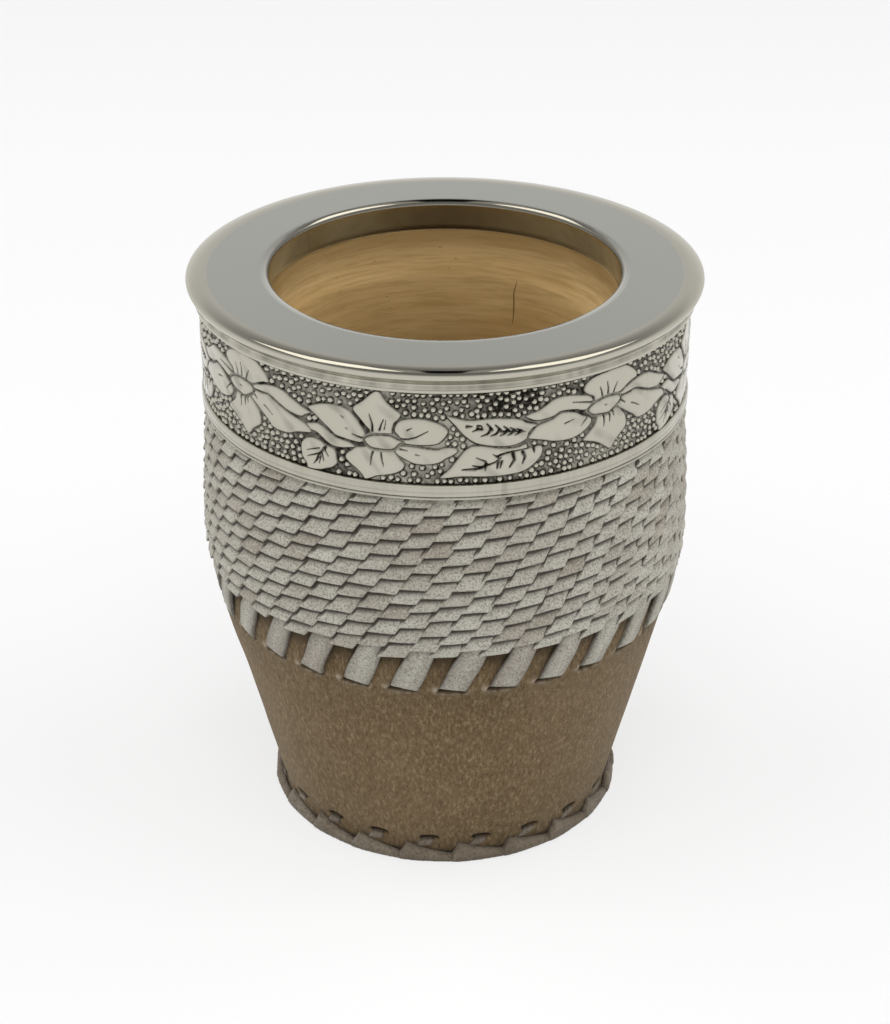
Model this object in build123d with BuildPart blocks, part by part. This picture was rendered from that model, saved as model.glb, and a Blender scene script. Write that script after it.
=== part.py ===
"""A wooden mate cup: a turned cup in a laced leather cover, a woven strap band and a chased metal rim.

Millimetres, +Z up. The origin is the centre of the underside, where the cup rests.
"""

import math
import os

from build123d import *

# Overall sizes.
TOTAL_HEIGHT = 103.8
RIM_RADIUS = 45.0
MOUTH_RADIUS = 30.7
CLEARANCE = 0.05  # left between pieces that lie against each other

# Leather cover: a straight taper that turns upright under the woven band.
COVER_THICKNESS = 1.5
COVER_FOOT_Z = 3.2
COVER_FOOT_RADIUS = 31.3
COVER_SHOULDER_Z = 42.0
COVER_SHOULDER_RADIUS = 41.0
COVER_UPRIGHT_Z = 50.0
COVER_UPRIGHT_RADIUS = 41.9

# Base disc and the lacing that holds it to the cover. Angles round the cup start at +X.
BASE_THICKNESS = 2.4
BASE_RADIUS = 30.2
LACING_RADIUS = 33.0
LACING_TOP_Z = 4.0
LACE_COUNT = 21
LACE_TURN_DEG = 360 / LACE_COUNT
LACE_FIRST_DEG = 7.7
LACE_WIDTH_DEG = 7.0
LACE_THICKNESS = 0.9
LACE_HOLE_Z = 5.0
LACE_HOLE_HEIGHT = 1.0
LACE_LEAN_DEG = 62.0  # of the grooves between the turns, from upright
LACE_GROOVE_WIDTH = 0.5
LACE_GROOVE_DEPTH = 0.6

# Woven band and the strap tails that leave it for the slits in the cover.
WEAVE_TOP_Z = 80.2
WEAVE_FOOT_Z = 50.2
WEAVE_EDGE_RADIUS = 43.1
WEAVE_BULGE = 1.0
WEAVE_ROWS = 10
WEAVE_STEP = 0.5  # by which the lower edge of each row stands out over the row below it
TAIL_COUNT = 30
TAIL_TURN_DEG = 360 / TAIL_COUNT
TAIL_FIRST_DEG = 7.75
TAIL_FOOT_Z = 42.4
TAIL_THICKNESS = 1.0
TAIL_WIDTH = 4.8  # measured level, round the cup
TAIL_LEAN_DEG = 22.4
SLIT_HEIGHT = 1.3
SLIT_WIDTH = 6.4
SLIT_Z = TAIL_FOOT_Z - 0.1

# Metal rim, chased band and trim ring.
RIM_PLATE_THICKNESS = 1.1
RIM_COLLAR_THICKNESS = 0.8
RIM_COLLAR_FOOT_Z = 98.3
RIM_LIP_ROUND = 1.6
RIM_FLAT_RADIUS = 42.8
RIM_EDGE_Z = 103.1
RIM_NOSE_DEPTH = 0.7  # of the rounded edge, below its widest ring
RIM_COVE_RADIUS = 43.85
RIM_COVE_Z = 101.95
RIM_BEAD_RADIUS = 43.8
RIM_BEAD_TOP_Z = 101.2
RIM_FOOT_Z = 99.7
SKIRT_INNER_RADIUS = COVER_UPRIGHT_RADIUS + CLEARANCE
BAND_TOP_RADIUS = 43.1
BAND_FOOT_RADIUS = 42.9
BAND_FOOT_Z = 83.0
TRIM_FOOT_Z = WEAVE_TOP_Z + CLEARANCE
TRIM_RADIUS = 43.8
TRIM_FLANGE_RADIUS = 43.5
TRIM_FLANGE_HEIGHT = 0.8

# Cavity of the turned cup.
CAVITY_TOP_RADIUS = 30.95
CAVITY_NECK_RADIUS = 30.6
CAVITY_NECK_Z = 91.0
CAVITY_MID_RADIUS = 28.6
CAVITY_MID_Z = 65.0
CAVITY_LOW_RADIUS = 25.0
CAVITY_LOW_Z = 36.0
CAVITY_FLOOR_Z = 15.0
CUP_FOOT_Z = BASE_THICKNESS + CLEARANCE


def cover_radius(z):
    """Radius of the cover's outer face at height z: straight lines between its three named rings."""
    if z >= COVER_UPRIGHT_Z:
        return COVER_UPRIGHT_RADIUS
    if z >= COVER_SHOULDER_Z:
        share = (z - COVER_SHOULDER_Z) / (COVER_UPRIGHT_Z - COVER_SHOULDER_Z)
        return COVER_SHOULDER_RADIUS + share * (COVER_UPRIGHT_RADIUS - COVER_SHOULDER_RADIUS)
    share = (z - COVER_FOOT_Z) / (COVER_SHOULDER_Z - COVER_FOOT_Z)
    return COVER_FOOT_RADIUS + share * (COVER_SHOULDER_RADIUS - COVER_FOOT_RADIUS)


def weave_radius(z):
    """Radius of the weave's outer face at height z: a barrel, flat in the middle and round at its ends."""
    off_middle = 2 * (z - WEAVE_FOOT_Z) / (WEAVE_TOP_Z - WEAVE_FOOT_Z) - 1
    return WEAVE_EDGE_RADIUS + WEAVE_BULGE * (1 - abs(off_middle) ** 3)


def upright_plane(angle_deg):
    """The plane through the axis at this angle from +X, with its x outwards and its y up."""
    outwards = Vector(math.cos(math.radians(angle_deg)), math.sin(math.radians(angle_deg)), 0)
    return Plane(origin=(0, 0, 0), x_dir=outwards, z_dir=outwards.cross(Vector(0, 0, 1)))


def facing_plane(angle_deg, radius, z):
    """The plane that faces away from the axis at this angle, with its x level and its y up."""
    outwards = Vector(math.cos(math.radians(angle_deg)), math.sin(math.radians(angle_deg)), 0)
    return Plane(
        origin=outwards * radius + Vector(0, 0, z),
        x_dir=Vector(0, 0, 1).cross(outwards),
        z_dir=outwards,
    )


# Base disc, which the cup rests on.
with BuildPart() as base_disc:
    Cylinder(BASE_RADIUS, BASE_THICKNESS, align=(Align.CENTER, Align.CENTER, Align.MIN))
    chamfer(base_disc.edges().sort_by(Axis.Z)[0], length=0.4)
base_disc.part.label = "base_disc"

# Turned cup: the outside follows the cover, the cavity narrows to a round floor.
with BuildPart() as turned_cup:
    with BuildSketch(Plane.XZ):
        with BuildLine():
            fit = COVER_THICKNESS + CLEARANCE
            shelf_z = RIM_COLLAR_FOOT_Z - CLEARANCE
            top_z = TOTAL_HEIGHT - RIM_PLATE_THICKNESS - CLEARANCE
            shelf_radius = MOUTH_RADIUS + RIM_COLLAR_THICKNESS + CLEARANCE
            Polyline(
                (0, CAVITY_FLOOR_Z),
                (0, CUP_FOOT_Z),
                (cover_radius(CUP_FOOT_Z) - fit, CUP_FOOT_Z),
                (cover_radius(COVER_SHOULDER_Z) - fit, COVER_SHOULDER_Z),
                (cover_radius(COVER_UPRIGHT_Z) - fit, COVER_UPRIGHT_Z),
                (COVER_UPRIGHT_RADIUS - fit, top_z),
                (shelf_radius, top_z),
                (shelf_radius, shelf_z),
                (CAVITY_TOP_RADIUS, shelf_z),
                (CAVITY_NECK_RADIUS, CAVITY_NECK_Z),
            )
            Spline(
                (CAVITY_NECK_RADIUS, CAVITY_NECK_Z),
                (CAVITY_MID_RADIUS, CAVITY_MID_Z),
                (CAVITY_LOW_RADIUS, CAVITY_LOW_Z),
                (0, CAVITY_FLOOR_Z),
                tangents=[(0, -1), (-1, 0)],
            )
        make_face()
    revolve(axis=Axis.Z)
turned_cup.part.label = "turned_cup"

# Leather cover, with a slit for each strap tail and a hole for each turn of the lacing.
with BuildPart() as leather_cover:
    with BuildSketch(Plane.XZ):
        with BuildLine():
            top_z = TOTAL_HEIGHT - RIM_PLATE_THICKNESS - CLEARANCE
            heights = [COVER_FOOT_Z, COVER_SHOULDER_Z, COVER_UPRIGHT_Z, top_z]
            outside = [(cover_radius(z), z) for z in heights]
            inside = [(radius - COVER_THICKNESS, z) for radius, z in reversed(outside)]
            Polyline(*outside, *inside, close=True)
        make_face()
    revolve(axis=Axis.Z)
    for turn in range(TAIL_COUNT):
        with BuildSketch(facing_plane(TAIL_FIRST_DEG + turn * TAIL_TURN_DEG, COVER_SHOULDER_RADIUS, SLIT_Z)):
            Rectangle(SLIT_WIDTH, SLIT_HEIGHT, align=(Align.CENTER, Align.MIN))
        extrude(amount=2 * COVER_THICKNESS, both=True, mode=Mode.SUBTRACT)
    for turn in range(LACE_COUNT):
        lace_angle = LACE_FIRST_DEG + turn * LACE_TURN_DEG
        hole_width = math.radians(LACE_WIDTH_DEG + 1) * LACING_RADIUS
        with BuildSketch(facing_plane(lace_angle, COVER_FOOT_RADIUS, LACE_HOLE_Z)):
            Rectangle(hole_width, LACE_HOLE_HEIGHT, align=(Align.CENTER, Align.MIN))
        extrude(amount=2 * COVER_THICKNESS, both=True, mode=Mode.SUBTRACT)
leather_cover.part.label = "leather_cover"

# Woven band: rows of strap ends that lap like shingles, cut below into the leaning strap tails.
with BuildPart() as woven_band:
    with BuildSketch(Plane.XZ):
        with BuildLine():
            back = COVER_UPRIGHT_RADIUS + CLEARANCE
            tuck_z = TAIL_FOOT_Z + TAIL_THICKNESS
            tuck_radius = cover_radius(TAIL_FOOT_Z) - COVER_THICKNESS / 2
            row_height = (WEAVE_TOP_Z - WEAVE_FOOT_Z) / WEAVE_ROWS
            laps = []
            for row in range(WEAVE_ROWS):
                lap_foot_z = WEAVE_FOOT_Z + row * row_height
                lap_top_z = lap_foot_z + row_height
                laps.append((weave_radius(lap_foot_z), lap_foot_z))
                laps.append((weave_radius(lap_top_z) - WEAVE_STEP, lap_top_z))
            Polyline(
                (back, WEAVE_TOP_Z),
                (back, COVER_UPRIGHT_Z),
                (cover_radius(tuck_z) + CLEARANCE, tuck_z),
                (tuck_radius, tuck_z),
                (tuck_radius, TAIL_FOOT_Z),
                (cover_radius(TAIL_FOOT_Z) + TAIL_THICKNESS / 2, TAIL_FOOT_Z),
                (cover_radius(tuck_z) + TAIL_THICKNESS, tuck_z),
                *laps,
                close=True,
            )
        make_face()
    revolve(axis=Axis.Z)
    tail_drop = WEAVE_FOOT_Z - TAIL_FOOT_Z
    tail_shift = tail_drop * math.tan(math.radians(TAIL_LEAN_DEG))
    gap_width = math.radians(TAIL_TURN_DEG) * cover_radius(TAIL_FOOT_Z) - TAIL_WIDTH
    for turn in range(TAIL_COUNT):
        gap_angle = TAIL_FIRST_DEG + (turn + 0.5) * TAIL_TURN_DEG
        with BuildSketch(facing_plane(gap_angle, COVER_SHOULDER_RADIUS - COVER_THICKNESS, TAIL_FOOT_Z)):
            with BuildLine():
                half = gap_width / 2
                Polyline(
                    (-half - tail_shift * 0.1, -tail_drop * 0.1),
                    (half - tail_shift * 0.1, -tail_drop * 0.1),
                    (half + tail_shift, tail_drop),
                    (-half + tail_shift, tail_drop),
                    close=True,
                )
            make_face()
        extrude(amount=RIM_RADIUS - COVER_SHOULDER_RADIUS + COVER_THICKNESS, mode=Mode.SUBTRACT)
woven_band.part.label = "woven_band"

# Base lacing: one strap whipped round the base edge, a tongue of each turn tucked into its hole.
with BuildPart() as base_lacing:
    with BuildSketch(Plane.XZ):
        with BuildLine():
            Polyline(
                (LACING_RADIUS - 0.8, 0),
                (BASE_RADIUS + CLEARANCE, 0),
                (BASE_RADIUS + CLEARANCE, COVER_FOOT_Z - CLEARANCE),
                (COVER_FOOT_RADIUS + CLEARANCE, COVER_FOOT_Z - CLEARANCE),
                (cover_radius(LACING_TOP_Z) + CLEARANCE, LACING_TOP_Z),
                (cover_radius(LACING_TOP_Z) + LACE_THICKNESS, LACING_TOP_Z),
                (LACING_RADIUS - 0.3, LACING_TOP_Z - 1.2),
            )
            ThreePointArc(
                (LACING_RADIUS - 0.3, LACING_TOP_Z - 1.2),
                (LACING_RADIUS, 1.2),
                (LACING_RADIUS - 0.8, 0),
            )
        make_face()
    revolve(axis=Axis.Z)
    for turn in range(LACE_COUNT):
        groove_angle = LACE_FIRST_DEG + turn * LACE_TURN_DEG
        with BuildSketch(facing_plane(groove_angle, LACING_RADIUS - LACE_GROOVE_DEPTH, LACING_TOP_Z / 2)):
            Rectangle(LACE_GROOVE_WIDTH, 3 * LACING_TOP_Z, rotation=LACE_LEAN_DEG)
        extrude(amount=LACE_THICKNESS, mode=Mode.SUBTRACT)
    for turn in range(LACE_COUNT):
        tongue_angle = LACE_FIRST_DEG + turn * LACE_TURN_DEG - LACE_WIDTH_DEG / 2
        tongue_z = LACE_HOLE_Z + CLEARANCE
        tongue_top_z = LACE_HOLE_Z + LACE_HOLE_HEIGHT - CLEARANCE
        with BuildSketch(upright_plane(tongue_angle)):
            with BuildLine():
                Polyline(
                    (cover_radius(LACING_TOP_Z) + CLEARANCE, LACING_TOP_Z - 0.3),
                    (cover_radius(LACING_TOP_Z) + LACE_THICKNESS, LACING_TOP_Z - 0.3),
                    (cover_radius(LACE_HOLE_Z) + LACE_THICKNESS, LACE_HOLE_Z),
                    (cover_radius(tongue_top_z) + CLEARANCE, tongue_top_z),
                    (cover_radius(tongue_top_z) - COVER_THICKNESS / 2, tongue_top_z),
                    (cover_radius(tongue_top_z) - COVER_THICKNESS / 2, tongue_z),
                    (cover_radius(tongue_z) + CLEARANCE, tongue_z),
                    close=True,
                )
            make_face()
        revolve(axis=Axis.Z, revolution_arc=LACE_WIDTH_DEG)
base_lacing.part.label = "base_lacing"

# Chased band: a plain ring at the height of its relief's tops.
with BuildPart() as chased_band:
    with BuildSketch(Plane.XZ):
        with BuildLine():
            Polyline(
                (SKIRT_INNER_RADIUS, BAND_FOOT_Z + CLEARANCE),
                (BAND_FOOT_RADIUS, BAND_FOOT_Z + CLEARANCE),
                (BAND_TOP_RADIUS, RIM_FOOT_Z - CLEARANCE),
                (SKIRT_INNER_RADIUS, RIM_FOOT_Z - CLEARANCE),
                close=True,
            )
        make_face()
    revolve(axis=Axis.Z)
chased_band.part.label = "chased_band"

# Trim ring: a round bead over a thin flange, between the chased band and the weave.
with BuildPart() as trim_ring:
    with BuildSketch(Plane.XZ):
        with BuildLine():
            flange_z = TRIM_FOOT_Z + TRIM_FLANGE_HEIGHT
            Polyline(
                (BAND_FOOT_RADIUS, flange_z),
                (TRIM_FLANGE_RADIUS, flange_z),
                (TRIM_FLANGE_RADIUS, TRIM_FOOT_Z),
                (SKIRT_INNER_RADIUS, TRIM_FOOT_Z),
                (SKIRT_INNER_RADIUS, BAND_FOOT_Z),
                (BAND_FOOT_RADIUS, BAND_FOOT_Z),
            )
            ThreePointArc(
                (BAND_FOOT_RADIUS, BAND_FOOT_Z),
                (TRIM_RADIUS, (BAND_FOOT_Z + flange_z) / 2),
                (BAND_FOOT_RADIUS, flange_z),
            )
        make_face()
    revolve(axis=Axis.Z)
trim_ring.part.label = "trim_ring"

# Rim: flat plate with a collar down into the mouth, and a cove and bead under its outer edge.
with BuildPart() as rim_ring:
    with BuildSketch(Plane.XZ):
        with BuildLine():
            lip_z = TOTAL_HEIGHT - RIM_LIP_ROUND
            lip_radius = MOUTH_RADIUS + RIM_LIP_ROUND
            plate_foot_z = TOTAL_HEIGHT - RIM_PLATE_THICKNESS
            collar_radius = MOUTH_RADIUS + RIM_COLLAR_THICKNESS
            bead_middle_z = (RIM_FOOT_Z + RIM_BEAD_TOP_Z) / 2
            bead_foot_radius = RIM_BEAD_RADIUS - 0.4
            nose_z = RIM_EDGE_Z - RIM_NOSE_DEPTH
            nose_radius = RIM_RADIUS - 0.4
            Line((RIM_FLAT_RADIUS, TOTAL_HEIGHT), (lip_radius, TOTAL_HEIGHT))
            RadiusArc((lip_radius, TOTAL_HEIGHT), (MOUTH_RADIUS, lip_z), -RIM_LIP_ROUND)
            Polyline(
                (MOUTH_RADIUS, lip_z),
                (MOUTH_RADIUS, RIM_COLLAR_FOOT_Z),
                (collar_radius, RIM_COLLAR_FOOT_Z),
                (collar_radius, plate_foot_z),
                (SKIRT_INNER_RADIUS, plate_foot_z),
                (SKIRT_INNER_RADIUS, RIM_FOOT_Z),
                (bead_foot_radius, RIM_FOOT_Z),
            )
            ThreePointArc(
                (bead_foot_radius, RIM_FOOT_Z),
                (RIM_BEAD_RADIUS, bead_middle_z),
                (bead_foot_radius, RIM_BEAD_TOP_Z),
            )
            ThreePointArc(
                (bead_foot_radius, RIM_BEAD_TOP_Z),
                (RIM_COVE_RADIUS, RIM_COVE_Z),
                (nose_radius, nose_z),
            )
            Bezier((nose_radius, nose_z), (RIM_RADIUS, nose_z), (RIM_RADIUS, RIM_EDGE_Z))
            Bezier(
                (RIM_RADIUS, RIM_EDGE_Z),
                (RIM_RADIUS, TOTAL_HEIGHT),
                (RIM_FLAT_RADIUS, TOTAL_HEIGHT),
            )
        make_face()
    revolve(axis=Axis.Z)
rim_ring.part.label = "rim_ring"

os.makedirs("parts", exist_ok=True)
for piece in (
    base_disc,
    turned_cup,
    leather_cover,
    woven_band,
    base_lacing,
    chased_band,
    trim_ring,
    rim_ring,
):
    export_step(piece.part, f"parts/{piece.part.label}.step")
    print(piece.part.label, round(piece.part.volume), "mm3, solids", len(piece.part.solids()))
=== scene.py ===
"""Mate cup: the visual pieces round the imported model, as a Blender add-on that is run as a script.

Everything is in metres, and MM turns a size given in millimetres into metres. Angles round the cup start
at the front (-Y) and grow towards +X, so a point at angle a and radius r is (r sin a, -r cos a).
"""

import math

import bpy
import numpy as np
from bpy.props import FloatProperty, FloatVectorProperty, IntProperty, PointerProperty
from bpy.types import Operator, Panel, PropertyGroup
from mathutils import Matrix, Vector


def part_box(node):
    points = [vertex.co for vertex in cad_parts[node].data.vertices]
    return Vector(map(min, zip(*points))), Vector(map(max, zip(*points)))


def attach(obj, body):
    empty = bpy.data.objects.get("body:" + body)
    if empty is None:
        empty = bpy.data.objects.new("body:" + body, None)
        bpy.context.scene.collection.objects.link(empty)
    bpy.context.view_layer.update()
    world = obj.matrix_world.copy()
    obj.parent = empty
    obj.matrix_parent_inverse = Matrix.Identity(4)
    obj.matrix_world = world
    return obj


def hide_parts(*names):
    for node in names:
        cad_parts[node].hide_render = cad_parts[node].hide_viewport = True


bl_info = {
    "name": "Mate Cup",
    "version": (1, 0, 0),
    "blender": (4, 5, 0),
    "location": "3D View > Sidebar > Mate Cup",
    "description": "Builds a laced and woven mate cup with a chased metal rim",
    "category": "Object",
}

MM = 0.001
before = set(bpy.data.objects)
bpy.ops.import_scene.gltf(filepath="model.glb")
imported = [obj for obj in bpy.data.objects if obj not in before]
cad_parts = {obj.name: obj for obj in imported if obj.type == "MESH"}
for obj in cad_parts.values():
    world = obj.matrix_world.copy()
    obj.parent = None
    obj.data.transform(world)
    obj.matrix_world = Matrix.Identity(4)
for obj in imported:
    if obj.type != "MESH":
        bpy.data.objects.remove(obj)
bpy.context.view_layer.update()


def node_heights(node):
    """Lowest and highest z of a node."""
    low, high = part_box(node)
    return low.z, high.z


def node_radius(node):
    """Half the width of a node."""
    low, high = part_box(node)
    return (high.x - low.x) / 2


RIM_RADIUS = node_radius("rim_ring")
COLLAR_FOOT, RIM_TOP = node_heights("rim_ring")
BAND_FOOT, BAND_TOP = node_heights("chased_band")
BAND_RADIUS = node_radius("chased_band")
TRIM_FOOT, TRIM_TOP = node_heights("trim_ring")
TAIL_FOOT, WEAVE_TOP = node_heights("woven_band")
WEAVE_FOOT = TAIL_FOOT + 7.8 * MM
WEAVE_REACH = node_radius("woven_band")
COVER_RADIUS = node_radius("leather_cover")
COVER_FOOT, COVER_TOP = node_heights("leather_cover")
CUP_TOP = node_heights("turned_cup")[1]
LACING_RADIUS = node_radius("base_lacing")
DISC_RADIUS = node_radius("base_disc")
DISC_TOP = node_heights("base_disc")[1]
NOSE_REACH, NOSE_DROP = 3.0 * MM, 0.72 * MM  # the rounding from the flat top to the outer edge
HOLE_HEIGHT = 4.75 * MM  # of the holes that the base lacing goes through
SKIN_GAP = 0.06 * MM  # kept between pieces that lie against each other
TAIL_FIRST = 1.75  # degrees round the cup to the foot of the first tail and its slit
HOLE_FIRST = 12.0  # degrees round the cup to the first hole of the lacing
BAND_FIRST = -68.5  # degrees round the cup to the first repeat of the flowers
CRACK_AT = 155.0  # degrees round the cup to the crack in the wood


# ----------------------------------------------------------------------------------------------
# Meshes from whole arrays


def on_cup(angle, radius, z):
    """Points of the cup: (r sin a, -r cos a, z) for arrays of angle, radius and height."""
    angle, radius, z = np.broadcast_arrays(angle, radius, z)
    return np.stack([radius * np.sin(angle), -radius * np.cos(angle), z], -1)


def grid_faces(rows, columns, wrap_rows=False, wrap_columns=False):
    """Corner numbers of the quads of a grid of points; a wrapped side joins its last line to its first."""
    row = np.arange(rows if wrap_rows else rows - 1)
    column = np.arange(columns if wrap_columns else columns - 1)
    i, j = np.meshgrid(row, column, indexing="ij")
    i_next, j_next = (i + 1) % rows, (j + 1) % columns
    corners = [i * columns + j, i * columns + j_next, i_next * columns + j_next, i_next * columns + j]
    return np.stack(corners, -1).reshape(-1, 4)


def new_piece(name, points, faces, caps=(), values=None, flat_faces=0):
    """A mesh object from an array of points, an array of quads and a list of many-sided caps.

    values maps a name to one number for each point, which the materials read as an attribute. The last
    flat_faces quads and the caps are shaded flat, and everything else smooth.
    """
    mesh = bpy.data.meshes.new(name)
    points = np.asarray(points, float).reshape(-1, 3)
    sizes = np.array([4] * len(faces) + [len(cap) for cap in caps])
    corners = np.concatenate([faces.reshape(-1), *[np.asarray(cap) for cap in caps]])
    mesh.vertices.add(len(points))
    mesh.vertices.foreach_set("co", points.ravel())
    mesh.loops.add(len(corners))
    mesh.loops.foreach_set("vertex_index", corners.astype(np.int32))
    mesh.polygons.add(len(sizes))
    mesh.polygons.foreach_set("loop_start", (np.cumsum(sizes) - sizes).astype(np.int32))
    smooth = np.ones(len(sizes), bool)
    smooth[len(faces) - flat_faces :] = False
    mesh.polygons.foreach_set("use_smooth", smooth)
    mesh.update(calc_edges=True)
    for key, numbers in (values or {}).items():
        layer = mesh.attributes.new(key, "FLOAT", "POINT")
        layer.data.foreach_set("value", np.broadcast_to(numbers, len(points)).astype(np.float32).ravel())
    piece = bpy.data.objects.new(name, mesh)
    bpy.context.scene.collection.objects.link(piece)
    return piece


def spread(points, steps):
    """A line through the given (radius, z) points with each stretch cut into its own number of steps."""
    points = np.asarray(points, float)
    runs = [
        np.linspace(points[k], points[k + 1], count, endpoint=False)
        for k, count in enumerate(np.broadcast_to(steps, len(points) - 1))
    ]
    return np.concatenate(runs + [points[-1:]])


def arc(centre, radii, start, end, steps):
    """An elliptic arc in (radius, z): centre + (a cos t, b sin t), t from start to end in degrees."""
    turn = np.radians(np.linspace(start, end, steps + 1))
    return np.stack([centre[0] + radii[0] * np.cos(turn), centre[1] + radii[1] * np.sin(turn)], -1)


def waves(rng, angle, lowest, highest, size):
    """An uneven closed line: a sum of sines of whole numbers of turns, with random weights and phases."""
    angle = np.asarray(angle, float)
    turns = np.arange(lowest, highest + 1)
    weight = rng.normal(size=len(turns))
    phase = rng.uniform(0, 2 * np.pi, len(turns))
    shape = (-1,) + (1,) * angle.ndim
    total = weight.reshape(shape) * np.sin(turns.reshape(shape) * angle + phase.reshape(shape))
    return size * total.sum(0) / math.sqrt(len(turns))


def swell(rng, angle, z, turns, pitch, size):
    """A smooth uneven surface: a sum of plane waves in angle and height, with random directions."""
    total = np.zeros(np.broadcast_shapes(np.shape(angle), np.shape(z)))
    count = 12
    for _ in range(count):
        around = int(rng.integers(1, turns + 1)) * rng.choice([-1, 1])
        up = 2 * np.pi * rng.uniform(0.2, 1) / pitch
        total += rng.normal() * np.sin(around * angle + up * z + rng.uniform(0, 2 * np.pi))
    return size * total / math.sqrt(count)


def smooth_step(low, high, x):
    """0 below low, 1 above high and 3t^2 - 2t^3 between."""
    t = np.clip((x - low) / (high - low), 0, 1)
    return t * t * (3 - 2 * t)


def hump(x, middle, width, power=2):
    """1 at the middle and falling away on both sides: e to the minus ((x - middle) / width) to the power."""
    return np.exp(-(((x - middle) / width) ** power))


def by_shell(numbers):
    """One number for each shell of a mesh, shaped to meet arrays of (shell, row, column)."""
    return numbers[:, None, None]


def turned_ring(name, profile, columns, lift=None, values=None):
    """A closed ring: a closed (radius, z) profile, counter-clockwise, carried round the axis.

    lift(angle, radius, z) is added to the radius. values maps a name to a function of the same three.
    """
    angle = np.linspace(0, 2 * np.pi, columns, endpoint=False)[None, :]
    radius, z = profile[:, :1], profile[:, 1:]
    moved = radius + (lift(angle, radius, z) if lift else 0 * angle)
    numbers = {
        key: np.broadcast_to(make(angle, radius, z), (len(profile), columns)).ravel()
        for key, make in (values or {}).items()
    }
    faces = grid_faces(len(profile), columns, wrap_rows=True, wrap_columns=True)
    return new_piece(name, on_cup(angle, moved, z), faces, values=numbers)


def ride_for(piece, slot, *nodes):
    """Puts a piece in the frame: it moves with the cup and stands for its nodes. slot is not used."""
    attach(piece, "root")
    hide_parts(*nodes)
    return piece


# ----------------------------------------------------------------------------------------------
# Materials


class Finish:
    """A material under construction: makes nodes and links them in one call each."""

    def __init__(self, name):
        self.material = bpy.data.materials.new(name)
        self.material.use_nodes = True
        self.tree = self.material.node_tree
        self.tree.nodes.clear()
        self.output = self.tree.nodes.new("ShaderNodeOutputMaterial")
        self.shader = self.tree.nodes.new("ShaderNodeBsdfPrincipled")
        self.link(self.shader.outputs["BSDF"], self.output.inputs["Surface"])
        self.place = self.tree.nodes.new("ShaderNodeTexCoord").outputs["Object"]

    def link(self, source, target):
        """Links an output to a socket."""
        self.tree.links.new(source, target)

    def fill(self, socket, value):
        """Links an output to a socket, or sets the socket to a plain value."""
        if isinstance(value, bpy.types.NodeSocket):
            self.link(value, socket)
        elif isinstance(value, tuple) and len(value) == 3 and socket.type == "RGBA":
            socket.default_value = (*value, 1)
        else:
            socket.default_value = value

    def attribute(self, name):
        """A number stored with each point of the mesh."""
        node = self.tree.nodes.new("ShaderNodeAttribute")
        node.attribute_name = name
        return node.outputs["Fac"]

    def stretched(self, x, y, z):
        """Object coordinates multiplied by x, y and z."""
        node = self.tree.nodes.new("ShaderNodeMapping")
        self.link(self.place, node.inputs["Vector"])
        node.inputs["Scale"].default_value = (x, y, z)
        return node.outputs["Vector"]

    def noise(self, scale, detail=2.0, roughness=0.5, distortion=0.0, place=None):
        """A noise of 0 to 1 in object coordinates, or at a given place."""
        node = self.tree.nodes.new("ShaderNodeTexNoise")
        self.link(place or self.place, node.inputs["Vector"])
        node.inputs["Scale"].default_value = scale
        node.inputs["Detail"].default_value = detail
        node.inputs["Roughness"].default_value = roughness
        node.inputs["Distortion"].default_value = distortion
        return node.outputs["Fac"]

    def ramp(self, value, low, high, to_low=0.0, to_high=1.0):
        """A value carried from the range low..high to to_low..to_high, smoothly and clamped."""
        node = self.tree.nodes.new("ShaderNodeMapRange")
        node.interpolation_type = "SMOOTHSTEP"
        self.fill(node.inputs["Value"], value)
        for key, number in (("From Min", low), ("From Max", high), ("To Min", to_low), ("To Max", to_high)):
            node.inputs[key].default_value = number
        return node.outputs["Result"]

    def math(self, operation, a, b=0.0, clamp=False):
        """One step of arithmetic on outputs or plain numbers."""
        node = self.tree.nodes.new("ShaderNodeMath")
        node.operation = operation
        node.use_clamp = clamp
        self.fill(node.inputs[0], a)
        self.fill(node.inputs[1], b)
        return node.outputs["Value"]

    def mix(self, share, first, second):
        """The first colour, with its share given to the second."""
        node = self.tree.nodes.new("ShaderNodeMix")
        node.data_type = "RGBA"
        self.fill(node.inputs["Factor"], share)
        self.fill(node.inputs["A"], first)
        self.fill(node.inputs["B"], second)
        return node.outputs["Result"]

    def bump(self, height, strength, distance):
        """A normal tilted by a height."""
        node = self.tree.nodes.new("ShaderNodeBump")
        node.inputs["Strength"].default_value = strength
        node.inputs["Distance"].default_value = distance
        self.link(height, node.inputs["Height"])
        return node.outputs["Normal"]

    def set(self, **sockets):
        """Fills sockets of the shader; a name's underscores stand for spaces."""
        for key, value in sockets.items():
            self.fill(self.shader.inputs[key.replace("_", " ")], value)

    def on(self, *pieces):
        """Puts the material on pieces."""
        for piece in pieces:
            piece.data.materials.clear()
            piece.data.materials.append(self.material)


def rgb(colour):
    """A colour property as a plain tuple."""
    return tuple(colour)[:3]


# ----------------------------------------------------------------------------------------------
# What a user would change


def length(name, description, millimetres):
    """A length that a user can change."""
    return FloatProperty(name=name, description=description, default=millimetres * MM, unit="LENGTH")


def colour(name, description, default):
    """A colour that a user can change."""
    return FloatVectorProperty(name=name, description=description, default=default, size=3, subtype="COLOR")


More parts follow.
